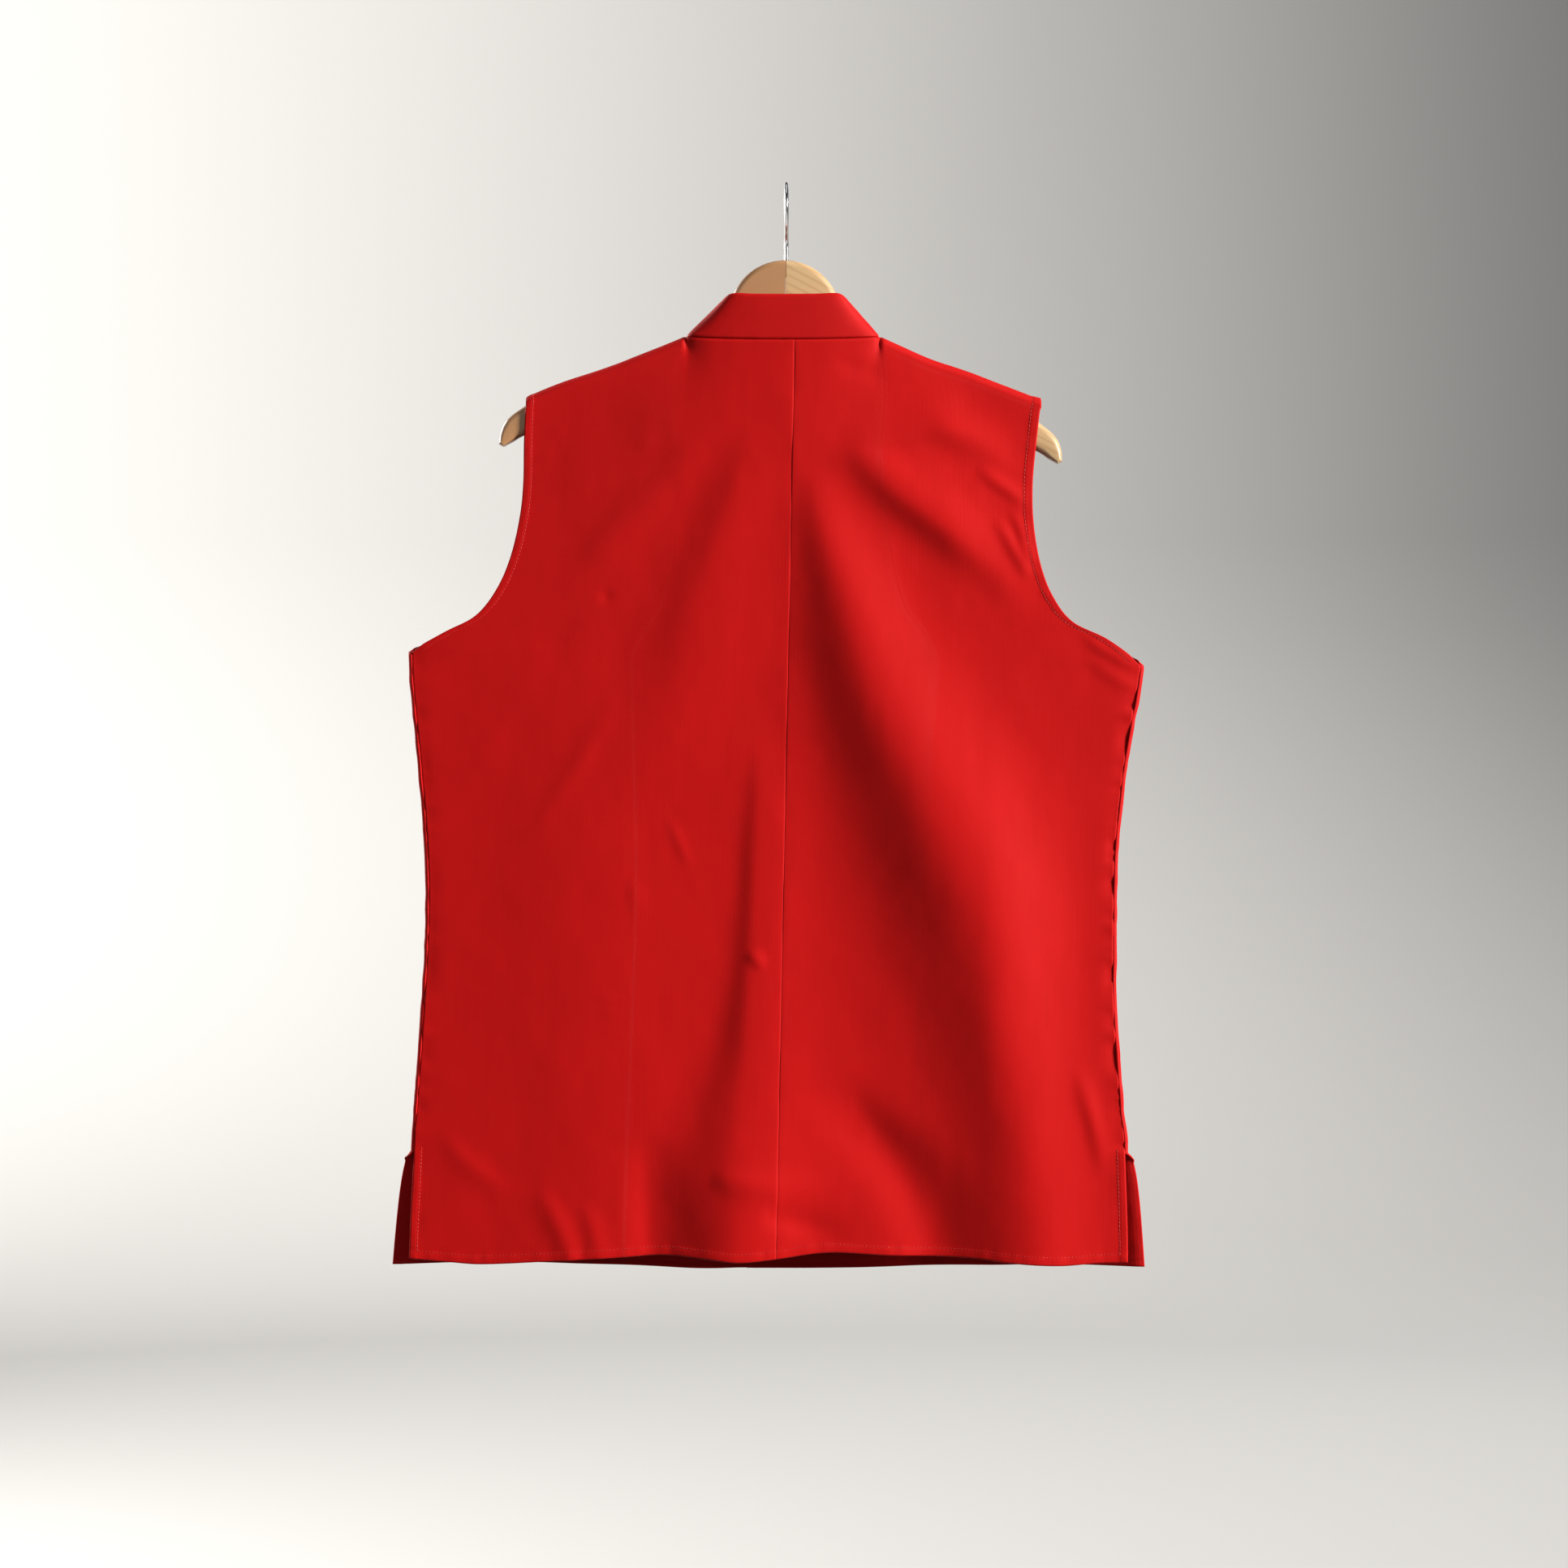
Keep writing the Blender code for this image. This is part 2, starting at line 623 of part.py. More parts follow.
def build_collar(cloth):
    """One band round the neck. It is straight at the seam and rounded at its two front ends."""
    shares = [i / COLLAR_STATIONS for i in range(COLLAR_STATIONS + 1)]
    route = [(LEFT, share) for share in reversed(shares)] + [(RIGHT, share) for share in shares[1:]]
    grid = [[] for _ in range(COLLAR_ROWS + 1)]
    for side, share in route:
        low, high = collar_seam(side, share), collar_top(side, share)
        rise = math.dist(low, high)
        near_end = 1 - ease(share, 1.0, 1.0 - COLLAR_CORNER_REACH)
        for k in range(COLLAR_ROWS + 1):
            up = blend(COLLAR_LIFT / rise, 1.0, k / COLLAR_ROWS)
            up -= near_end * COLLAR_CORNER / rise * (k / COLLAR_ROWS) ** 3
            x, y, z = (blend(a, b, up) for a, b in zip(low, high))
            bulge = COLLAR_BULGE * math.sin(math.pi * up)
            bulge *= ease(share, COLLAR_BULGE_START, COLLAR_BULGE_FULL)
            if share == 1.0:
                x += side * COLLAR_END_GAP / 2
            grid[k].append((x, y - bulge, z))
    cloth_wall("collar", grid, COLLAR_CLOTH, cloth)


def button_places():
    """Centre of each button's back, just off the left front's centre line."""
    places = front_places(LEFT)
    centre_column = places.index((LEFT, 0.0))
    line = [row[centre_column] for row in front_grid(LEFT)[WRAP_ROWS + 1:]]
    drops = [-z for _, _, z in line]
    depths = [y for _, y, _ in line]
    centres = []
    for index in range(BUTTON_COUNT):
        z = BUTTON_TOP - index * BUTTON_SPACING
        behind = np.interp([-z - BUTTON_RADIUS, -z, -z + BUTTON_RADIUS], drops, depths)
        centres.append((centre_x(True, z), min(behind) - CLOTH / 2 - FREE_CLEARANCE, z))
    return centres


def build_buttons(shell):
    """Turned discs with a raised rim and a hollow middle, on the left front."""
    for index, (x, y, z) in enumerate(button_places()):
        shape = bmesh.new()
        rings = []
        for row in BUTTON_SECTION:
            out, up = row["out"] * BUTTON_RADIUS, row["up"] * BUTTON_THICKNESS
            ring = []
            for i in range(BUTTON_SIDES if out else 1):
                turn = 2 * math.pi * i / BUTTON_SIDES
                place = Vector((x + out * math.cos(turn), y - up, z + out * math.sin(turn)))
                ring.append(shape.verts.new(place * MM))
            rings.append(ring)
        for low, high in zip(rings, rings[1:]):
            for i in range(BUTTON_SIDES):
                j = (i + 1) % BUTTON_SIDES
                corners = [low[i % len(low)], low[j % len(low)], high[j % len(high)], high[i % len(high)]]
                shape.faces.new(list(dict.fromkeys(corners)))
        bmesh.ops.recalc_face_normals(shape, faces=shape.faces)
        add_solid(f"button_{index + 1}", shape, shell, HARD_SHARP_ANGLE)


def arm_outline():
    """Half of the hanger seen from behind: the dome, the arm's top edge, its tip and its lower edge."""
    points = []
    for i in range(DOME_STEPS + 1):
        turn = math.radians(DOME_ANGLE) * i / DOME_STEPS
        points.append((DOME_RADIUS * math.sin(turn), DOME_RADIUS * (math.cos(turn) - 1)))
    for rows, steps in ((ARM_TOP, ARM_TOP_STEPS), (ARM_BOTTOM, ARM_BOTTOM_STEPS)):
        knots = list(range(len(rows)))
        for i in range(steps + 1):
            at = knots[-1] * i / steps
            points.append((smooth(knots, column(rows, "out"), at), smooth(knots, column(rows, "up"), at)))
    return points


def inset_outline(points, inset):
    """The outline moved inwards, less near the arm's thin tip. Its two ends stay on the centre joint."""
    moved = []
    last = len(points) - 1
    tip = ARM_BOTTOM[0]["out"], ARM_BOTTOM[0]["up"]
    full_inset = inset
    for i, (out, up) in enumerate(points):
        before, after = points[max(i - 1, 0)], points[min(i + 1, last)]
        along_out, along_up = after[0] - before[0], after[1] - before[1]
        length = math.hypot(along_out, along_up)
        from_tip = min(1.0, math.dist(points[i], tip) / TIP_EASE)
        inset = full_inset * blend(TIP_ROUNDING_SHARE, 1.0, from_tip)
        if i in (0, last):
            moved.append((out, up + math.copysign(inset, -along_out)))
        else:
            moved.append((out + along_up / length * inset, up - along_out / length * inset))
    return moved


def build_hanger_arm(side, wood):
    """Half of the hanger: its outline in rounded layers from the front face to the back face.

    The outline has as many points below as above, so each face is a strip between the two."""
    cos, sin = math.cos(HANGER_ROLL), math.sin(HANGER_ROLL)
    outline = arm_outline()
    turns = [math.radians(90 * i / ROUNDING_STEPS) for i in range(ROUNDING_STEPS + 1)]
    back_layers = [(WOOD_ROUNDING * (1 - math.cos(turn)),
                    WOOD_THICKNESS / 2 - WOOD_ROUNDING * (1 - math.sin(turn))) for turn in turns]
    layers = [(inset, -out) for inset, out in reversed(back_layers)] + back_layers
    shape = bmesh.new()
    loops = []
    for inset, layer_y in layers:
        loop = []
        for out, up in inset_outline(outline, inset):
            along = side * (out + JOINT_GAP / 2)
            x = along * cos - up * sin
            place = Vector((x, ridge_y(x) + layer_y, WOOD_TOP + up * cos + along * sin))
            loop.append(shape.verts.new(place * MM))
        loops.append(loop)
    for loop in (loops[0], loops[-1]):
        for i in range(len(loop) // 2 - 1):
            shape.faces.new([loop[i], loop[i + 1], loop[-2 - i], loop[-1 - i]])
    for low, high in zip(loops, loops[1:]):
        for i in range(len(low)):
            j = (i + 1) % len(low)
            shape.faces.new([low[j], low[i], high[i], high[j]])
    bmesh.ops.recalc_face_normals(shape, faces=shape.faces)
    thing = add_solid("hanger_arm_" + side_name(side), shape, wood, HARD_SHARP_ANGLE)
    hole = thing.modifiers.new("Hook hole", "BOOLEAN")
    hole.object = bpy.data.objects["hook_hole"]
    hole.solver = "EXACT"


def build_hole_cutter(wood):
    """Guide that cuts the hole for the hook's stem in both halves of the hanger."""
    radius = (WIRE_RADIUS + HOLE_CLEARANCE) * MM
    shape = bmesh.new()
    bmesh.ops.create_cone(shape, cap_ends=True, segments=HOLE_SIDES, radius1=radius, radius2=radius,
                          depth=2 * (STEM_DEPTH + HOLE_CLEARANCE) * MM)
    cutter = add_solid("hook_hole", shape, wood, HARD_SHARP_ANGLE)
    cutter.location = (0.0, 0.0, WOOD_TOP * MM)
    cutter.hide_render = True
    cutter.display_type = "WIRE"


def hook_route():
    """Centre line of the wire in the YZ plane: up out of the wood, out to one side and over."""
    centre_z = WIRE_RADIUS - BOW_RADIUS
    route = [(row["out"], WOOD_TOP + row["up"]) for row in STEM]
    for i in range(BOW_STEPS + 1):
        turn = math.radians(BOW_START + BOW_TURN * i / BOW_STEPS)
        route.append((BOW_RADIUS * math.cos(turn), centre_z + BOW_RADIUS * math.sin(turn)))
    return route


def build_hook(chrome):
    curve = bpy.data.curves.new("hanger_hook", "CURVE")
    curve.dimensions = "3D"
    curve.bevel_depth = WIRE_RADIUS * MM
    curve.bevel_resolution = 2
    curve.use_fill_caps = True
    route = hook_route()
    line = curve.splines.new("POLY")
    line.points.add(len(route) - 1)
    for point, (y, z) in zip(line.points, route):
        point.co = (0.0, y * MM, z * MM, 1.0)
    line.use_smooth = True
    curve.materials.append(chrome)
    thing = bpy.data.objects.new("hanger_hook", curve)
    bpy.context.collection.objects.link(thing)


def main():
    clean_scene()
    cloth = finish_material("red_cotton", (0.56, 0.011, 0.011), 0.62)
    wood = finish_material("pale_wood", (0.62, 0.38, 0.17), 0.45)
    chrome = finish_material("chrome", (0.72, 0.72, 0.73), 0.18, 1.0)
    shell = finish_material("button_red", (0.30, 0.010, 0.012), 0.35)
    build_hole_cutter(wood)
    for side in (LEFT, RIGHT):
        build_hanger_arm(side, wood)
    build_hook(chrome)
    build_panels(cloth)
    build_collar(cloth)
    build_buttons(shell)


main()
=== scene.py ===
# %% [markdown]
# # A red Nehru jacket on a wooden hanger
# This notebook dresses a plain model of the jacket. The plain model, called the frame, has the right
# pieces at the right size. Here each piece gets its cloth, folds, stitches, grain and gloss. We load
# the frame first and list its nodes. Nothing that we add may outgrow it.

# %% Load the frame
import math
import bmesh
import bpy
import numpy as np
from mathutils import Matrix, Vector


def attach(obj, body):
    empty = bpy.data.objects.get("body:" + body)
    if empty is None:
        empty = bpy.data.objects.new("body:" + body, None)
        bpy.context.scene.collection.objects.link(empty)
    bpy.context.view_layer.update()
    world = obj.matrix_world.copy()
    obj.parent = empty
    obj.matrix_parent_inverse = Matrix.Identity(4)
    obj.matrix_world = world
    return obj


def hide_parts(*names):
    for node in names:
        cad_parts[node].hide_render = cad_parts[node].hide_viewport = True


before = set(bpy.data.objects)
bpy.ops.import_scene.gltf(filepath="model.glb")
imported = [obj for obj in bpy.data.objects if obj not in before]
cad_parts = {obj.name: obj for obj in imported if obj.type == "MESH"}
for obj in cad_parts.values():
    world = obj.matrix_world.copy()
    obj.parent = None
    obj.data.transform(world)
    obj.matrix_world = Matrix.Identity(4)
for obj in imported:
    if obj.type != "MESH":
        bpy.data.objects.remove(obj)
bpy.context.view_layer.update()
MM = 0.001
LEFT, RIGHT = 1, -1
print("frame nodes:", ", ".join(sorted(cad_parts)))

# %% [markdown]
# ## The camera and the studio
# The jacket is seen square from behind, from a little over two and a half metres, with a long lens
# that keeps its sides parallel. The lens follows from the width of the view and the distance. A floor
# that curves up into a wall all round gives a plain pale ground from every side, so no edge shows.

# %% Camera
VIEW_WIDTH = 1226.8
CAMERA_DISTANCE = 2600.0
BACK_PLANE_Y = 25.0
CAMERA_X, CAMERA_Z = 1.9, -472.1
SENSOR_WIDTH = 36.0

camera_data = bpy.data.cameras.new("camera")
camera_data.sensor_width = SENSOR_WIDTH
camera_data.lens = SENSOR_WIDTH * CAMERA_DISTANCE / VIEW_WIDTH
camera = bpy.data.objects.new("camera", camera_data)
camera.location = (CAMERA_X * MM, (BACK_PLANE_Y + CAMERA_DISTANCE) * MM, CAMERA_Z * MM)
camera.rotation_euler = (math.radians(90), 0.0, math.radians(180))
bpy.context.scene.collection.objects.link(camera)
bpy.context.scene.camera = camera
bpy.context.scene.view_settings.view_transform = "Standard"
print("lens", round(camera_data.lens, 1), "mm")

# %% [markdown]
# Before the shapes, one small class makes shader recipes readable. A `Wire` is a socket of a
# material's node tree. Adding or multiplying two wires adds the Math node that does it, so a recipe
# reads as arithmetic. Every other node comes from one method, `node`.

# %% Shader maths as Python
class Wire:
    """An output socket of a node tree. Maths on wires adds Math nodes."""

    def __init__(self, tree, socket=None):
        self.tree = tree
        self.socket = socket

    def node(self, kind, inputs=(), output=0, **settings):
        """Adds a node, makes its settings, then fills its sockets with values or wires."""
        made = self.tree.nodes.new(kind)
        for name, value in settings.items():
            setattr(made, name, value)
        for name, value in dict(inputs).items():
            if isinstance(value, Wire):
                self.tree.links.new(value.socket, made.inputs[name])
            else:
                made.inputs[name].default_value = value
        return Wire(self.tree, made.outputs[output])

    def math(self, operation, *values):
        return self.node("ShaderNodeMath", enumerate(values), operation=operation)

    def __add__(self, other):
        return self.math("ADD", self, other)

    def __sub__(self, other):
        return self.math("SUBTRACT", self, other)

    def __rsub__(self, other):
        return self.math("SUBTRACT", other, self)

    def __mul__(self, other):
        return self.math("MULTIPLY", self, other)

    __radd__ = __add__
    __rmul__ = __mul__

    def blend(self, low, high):
        """A colour between two colours, by this wire's value."""
        sockets = {"Factor": self, "A": low, "B": high}
        made = self.tree.nodes.new("ShaderNodeMix")
        made.data_type = "RGBA"
        for socket in made.inputs:
            if socket.enabled and socket.name in sockets:
                value = sockets[socket.name]
                if isinstance(value, Wire):
                    self.tree.links.new(value.socket, socket)
                else:
                    socket.default_value = value
        return Wire(self.tree, next(s for s in made.outputs if s.enabled))


def new_material(name):
    """A material with a Principled shader, as (material, shader node, first wire)."""
    material = bpy.data.materials.new(name)
    material.use_nodes = True
    return material, material.node_tree.nodes["Principled BSDF"], Wire(material.node_tree)


def feed(shader, name, wire):
    wire.tree.links.new(wire.socket, shader.inputs[name])


# %% [markdown]
# The studio is a bowl turned from one profile: flat underneath, a large round corner, and a straight
# wall. It is marked as a stage, so that it never counts as a part of the jacket. It stays out of the
# jacket's pieces.

# %% Studio
FLOOR_Z = -1500.0
BOWL_RADIUS = 5200.0
BOWL_CORNER = 1600.0
BOWL_HEIGHT = 5200.0
BOWL_SIDES = 96
CORNER_STEPS = 12


def build_bowl():
    profile = [(0.0, FLOOR_Z)]
    for i in range(CORNER_STEPS + 1):
        turn = math.radians(90 * i / CORNER_STEPS)
        profile.append((BOWL_RADIUS - BOWL_CORNER + BOWL_CORNER * math.sin(turn),
                        FLOOR_Z + BOWL_CORNER * (1 - math.cos(turn))))
    profile.append((BOWL_RADIUS, FLOOR_Z + BOWL_HEIGHT))
    shape = bmesh.new()
    points = [shape.verts.new((radius * MM, 0.0, z * MM)) for radius, z in profile]
    edges = [shape.edges.new(pair) for pair in zip(points, points[1:])]
    bmesh.ops.spin(shape, geom=points + edges, axis=(0, 0, 1), cent=(0, 0, 0),
                   steps=BOWL_SIDES, angle=2 * math.pi)
    bmesh.ops.remove_doubles(shape, verts=shape.verts, dist=0.0001)
    bmesh.ops.recalc_face_normals(shape, faces=shape.faces)
    mesh = bpy.data.meshes.new("studio_bowl")
    shape.to_mesh(mesh)
    shape.free()
    mesh.shade_smooth()
    bowl = bpy.data.objects.new("studio_bowl", mesh)
    bpy.context.scene.collection.objects.link(bowl)
    material, shader, _ = new_material("studio_paint")
    shader.inputs["Base Color"].default_value = (0.70, 0.69, 0.67, 1.0)
    shader.inputs["Roughness"].default_value = 0.9
    shader.inputs["Specular IOR Level"].default_value = 0.1
    mesh.materials.append(material)
    bowl.visible_diffuse = False
    bowl.visible_shadow = False


build_bowl()

# %% [markdown]
# The main light comes from the right of the picture and skims the cloth, which is what makes folds
# readable. It is a sun lamp, so it is equally strong on every part of the jacket, and a wide angle
# makes its shadows soft. Weaker lights fill the shadows and serve the views from the front.

# %% Lights
LIGHT_TARGET = Vector((0.0, 0.0, -0.45))


def add_light(name, place, size, power, colour=(1.0, 1.0, 1.0)):
    data = bpy.data.lights.new(name, "AREA")
    data.shape = "RECTANGLE"
    data.size, data.size_y = size
    data.energy = power
    data.color = colour
    lamp = bpy.data.objects.new(name, data)
    lamp.location = place
    lamp.rotation_euler = (LIGHT_TARGET - Vector(place)).to_track_quat("-Z", "Y").to_euler()
    lamp.visible_camera = False
    bpy.context.scene.collection.objects.link(lamp)


def add_far_light(name, turn, rise, strength, spread, colour=(1.0, 1.0, 1.0)):
    """A soft light so far away that it is even: turned from the +Y axis to -X, and raised."""
    data = bpy.data.lights.new(name, "SUN")
    data.energy, data.angle, data.color = strength, math.radians(spread), colour
    lamp = bpy.data.objects.new(name, data)
    turn, rise = math.radians(turn), math.radians(rise)
    source = Vector((-math.sin(turn) * math.cos(rise), math.cos(turn) * math.cos(rise), math.sin(rise)))
    lamp.rotation_euler = (-source).to_track_quat("-Z", "Y").to_euler()
    bpy.context.scene.collection.objects.link(lamp)


add_far_light("key", 67.0, 16.0, 6.7, 18.0, (1.0, 0.98, 0.95))
add_light("fill", (1.2, 3.2, 0.6), (2.5, 2.5), 9.0)
add_light("front_key", (2.2, -1.5, 0.5), (1.0, 1.6), 80.0, (1.0, 0.98, 0.95))
add_light("front_fill", (-1.4, -3.0, 0.8), (2.5, 2.5), 12.0)
add_light("top", (0.0, 0.0, 3.4), (3.5, 3.5), 20.0)
world = bpy.data.worlds.new("studio_air")
world.use_nodes = True
world.node_tree.nodes["Background"].inputs["Color"].default_value = (0.9, 0.93, 1.0, 1.0)
world.node_tree.nodes["Background"].inputs["Strength"].default_value = 0.08
bpy.context.scene.world = world

# %% [markdown]
# ## The jacket's pattern
# The jacket has two backs, two fronts and a collar. Its outline comes from a few short tables, the
# same as in the frame: one row for each place along the edge. A smooth curve runs through the rows.
# A share runs across a panel, from 0 at its centre to 1 at its edge. A station runs down it and counts
# the rows of the edge tables.

# %% Sizes and tables
CLOTH = 1.3
COLLAR_CLOTH = 2.6
NECK_X = 2.8
NECK_HALF_WIDTH = 76.0
NECK_BACK_Y, NECK_BACK_Z = 10.0, -122.8
NECK_FRONT_Y, NECK_FRONT_Z = -53.5, -193.0
NECK_COLUMN_SHARE = 0.42
NECK_BACK_FLATNESS = 0.38
SWEEP = math.tan(math.radians(2.5))
RIDGE_RADIUS = 7.15
SHOULDER_SEAM_ANGLE = -20.0
SHOULDER_SEAM_HALF = 0.35
FULL_WRAP = 70.0
WRAP_DROP = 13.2
BACK_LEAN = math.tan(math.radians(1.17))
FRONT_LEAN = math.tan(math.radians(0.95))
BACK_SEAM_TOP_X = -6.5
UNDERARM_CENTRE_Z = -373.5
BACK_HEM_CENTRE_Z = -842.5
FRONT_HEM_CENTRE_Z = -860.5
HEM_CURVE_START, HEM_CURVE_END = 0.1, 0.9
HANG_STATION = 0.2
YOKE_FADE = 85.0
CORNER_EASE, CORNER_REACH = 25.0, 38.0
SIDE_SEAM_INSET = 3.1
SIDE_CLOSING = 0.5
SIDE_FOLD_RADIUS = 3.1
SIDE_FOLD_END = 75.0
VENT_OPENING = 0.12
VENT_FLARE, VENT_FLARE_POWER = 14.5, 0.55
OVERLAP = 17.0
OVERLAP_SHARE = 0.0595
OVERLAP_LIFT = 1.15
OVERLAP_FLAT, OVERLAP_FADE = 20.0, 45.0
FRONT_FOLD_REACH = 42.5
FOLD_EDGE_START, FOLD_EDGE_END = 0.6, 1.0


def table(columns, *rows):
    """Rows with named columns, as one array for each column."""
    return dict(zip(columns.split(), np.array(rows, float).T))


RIDGE = table(
    "left_x right_x height",
    (79, -73, -118.4),
    (97, -89, -125.7),
    (122, -111, -135.5),
    (148, -141, -145.2),
    (179, -167, -155.0),
    (203, -193, -164.8),
    (206, -201, -167.0))
ARMHOLE = table(
    "left_x left_z right_x right_z",
    (205.5, -167, -201, -168),
    (207, -203, -197, -203),
    (207.5, -235, -194, -235),
    (210, -261, -194.5, -266),
    (217, -292, -199.5, -297),
    (228, -318, -209, -323),
    (244.5, -339, -225, -344),
    (269, -352, -253, -358),
    (298.5, -368, -282.5, -379))
SIDE = table(
    "left_x left_z right_x right_z",
    (298.5, -368, -282.5, -379),
    (297, -397, -278, -407),
    (292, -449, -269.5, -455),
    (286, -520, -262, -523),
    (285, -578, -260.5, -578),
    (288.5, -649, -260.5, -649),
    (294, -727, -265.5, -727),
    (296.5, -763, -269, -763),
    (297, -852, -268, -853))
DEPTH = table(
    "height back back_edge front_edge front fullness right_shift",
    (-120, 14.5, -2, -17, -49.5, 1.1, 0),
    (-200, 13.5, -1.5, -20, -52, 1.3, 0),
    (-290, 12.5, -0.5, -18, -51, 1.5, 0),
    (-345, 12, 0.5, -10.5, -49, 1.7, 0),
    (-372, 11.5, 1.5, -4.7, -47.5, 1.9, 0),
    (-520, 10.5, 2.5, -3.7, -42, 2.0, 2),
    (-650, 10.5, 2.5, -3.7, -41, 2.0, 5),
    (-763, 11.5, 2.5, -3.7, -44, 2.0, 7),
    (-855, 12.5, 3, -7.5, -47, 2.0, 7.5))
UNDERARM = len(ARMHOLE["left_x"]) - 1
VENT_TOP = UNDERARM + len(SIDE["left_x"]) - 2
HEM = VENT_TOP + 1
print("stations: underarm", UNDERARM, "vent", VENT_TOP, "hem", HEM)

# %% [markdown]
# Two helpers do most of the drawing. `ease` is a soft step from 0 to 1. `smooth` is a curve through
# the rows of a table that doesn't overshoot much. Both work on whole arrays at once, which keeps a
# panel of ten thousand points quick.

# %% Curves
def ease(value, start, end):
    """0 before start, 1 after end, with a smooth rise between them."""
    share = np.clip((value - start) / (end - start), 0.0, 1.0)
    return share * share * (3 - 2 * share)


def mix(low, high, share):
    return low + (high - low) * share


def smooth(knots, values, at):
    """The smooth curve through the values at increasing knots, level past its ends."""
    last = len(knots) - 1
    at = np.clip(at, knots[0], knots[last])
    before = np.maximum(np.arange(last + 1) - 1, 0)
    after = np.minimum(np.arange(last + 1) + 1, last)
    slopes = (values[after] - values[before]) / (knots[after] - knots[before])
    i = np.clip(np.searchsorted(knots, at, side="right") - 1, 0, last - 1)
    span = knots[i + 1] - knots[i]
    s = (at - knots[i]) / span
    return ((2 * s ** 3 - 3 * s ** 2 + 1) * values[i] + (s ** 3 - 2 * s ** 2 + s) * span * slopes[i]
            + (3 * s ** 2 - 2 * s ** 3) * values[i + 1] + (s ** 3 - s ** 2) * span * slopes[i + 1])


def side_name(side):
    return "left" if side == LEFT else "right"


def depth(name, height):
    return smooth(-DEPTH["height"], DEPTH[name], -height)


def centre_x(front, height):
    """The centre line of the fronts or the back, which lean a little as the jacket hangs."""
    if front:
        return NECK_X + FRONT_LEAN * np.maximum(0.0, NECK_FRONT_Z - height)
    return BACK_SEAM_TOP_X + BACK_LEAN * (NECK_BACK_Z - height)


def edge_point(side, station):
    """Outline of the armhole and side at a station."""
    station = np.asarray(station, float)
    places = []
    for axis in ("_x", "_z"):
        upper, lower = ARMHOLE[side_name(side) + axis], SIDE[side_name(side) + axis]
        above = smooth(np.arange(len(upper), dtype=float), upper, station)
        below = smooth(UNDERARM + np.arange(len(lower), dtype=float), lower, station)
        places.append(np.where(station <= UNDERARM, above, below))
    return places


def ridge_height(side, x):
    return smooth(np.abs(RIDGE[side_name(side) + "_x"]), RIDGE["height"], np.abs(x))


def ridge_y(x):
    return -SWEEP * np.abs(x)


# %% [markdown]
# ## Folds
# A fold is a soft ridge, or a soft trough where its height is below 0, along a path. On the real
# jacket the cloth hangs from two points near the neck, so the large folds start there and widen as
# they fall. Each row of a fold's table is a place on its path, with the fold's height there and its
# width to either side. Unequal widths make one flank steeper than the other, and that is what
# separates a fold from a dent.

# %% Folds of the back
def fold(*rows):
    """Path of a fold, going down: x, z, height, and its width to the wearer's left and right."""
    return table("x z height left right", *rows)


BACK_FOLDS = [
    # The large fold from the neck to the right side of the hem
    fold((-22, -225, 0, 12, 14), (-29, -271, 4.5, 18, 22), (-45, -322, 8.5, 27, 33),
         (-67, -392, 12.5, 38, 46), (-103, -470, 15.5, 48, 58), (-133, -530, 17.5, 56, 66),
         (-159, -583, 17, 64, 76), (-180, -671, 14.5, 58, 74), (-199, -748, 12.5, 52, 62),
         (-209, -811, 12, 50, 58), (-213, -850, 12, 48, 56)),
    # The second fold, below the right shoulder, and the third, beside the shoulder's tip
    fold((-46, -200, 0, 12, 14), (-71, -227, 4, 15, 18), (-102, -252, 6, 16, 26),
         (-140, -279, 6.6, 18, 28), (-178, -309, 5, 17, 24), (-202, -335, 0, 12, 12)),
    fold((-60, -168, 0, 10, 12), (-83, -179, 3.4, 12, 20), (-128, -189, 8, 14, 24),
         (-160, -202, 8, 14, 20), (-186, -226, 3, 11, 12)),
    # The ridge that falls from the left of the neck
    fold((24, -185, 0, 12, 14), (30, -215, 1.2, 14, 20), (41, -246, 2.2, 16, 26), (57, -290, 2.8, 20, 32),
         (72, -341, 3, 26, 40), (85, -392, 2.6, 32, 44), (95, -443, 1.6, 40, 44), (100, -500, 0, 40, 40)),
    # The steep-sided ridge in the lower middle, which spreads out at the hem
    fold((20, -440, 0, 9, 20), (21, -468, 1.0, 9, 26), (23.5, -519, 2.2, 9.5, 34), (25, -570, 2.9, 11, 38),
         (27.5, -621, 3.7, 13, 42), (31, -684, 4.8, 19, 46), (35, -722, 5.8, 27, 52),
         (38, -779, 8.6, 40, 50), (39, -811, 9.6, 42, 47), (41, -850, 9.2, 42, 46)),
    # The trough to its right, and the crease that bounds the hem's dark patch
    fold((-42, -700, 0, 26, 20), (-55, -729, -3, 26, 17), (-74, -754, -4.8, 24, 19),
         (-93, -779, -5.6, 24, 24), (-112, -817, -5.4, 24, 28), (-120, -850, -5, 24, 28)),
    fold((110, -748, 0, 12, 16), (108, -768, -1.6, 14, 24), (107, -790, -2.6, 14, 28),
         (106, -815, -3.2, 14, 31), (105, -850, -3.4, 14, 31)),
    # Broad swells of the left half
    fold((132, -366, 0, 60, 60), (145, -450, 1.6, 70, 60), (158, -540, 2.4, 80, 66), (158, -640, 2.6, 80, 66),
         (150, -740, 2, 70, 60), (150, -850, 1.5, 60, 60)),
    fold((56, -196, 0, 12, 12), (80, -220, 1.0, 14, 14), (112, -250, 1.5, 16, 16), (148, -288, 1.6, 16, 18),
         (180, -325, 0, 14, 14)),
]
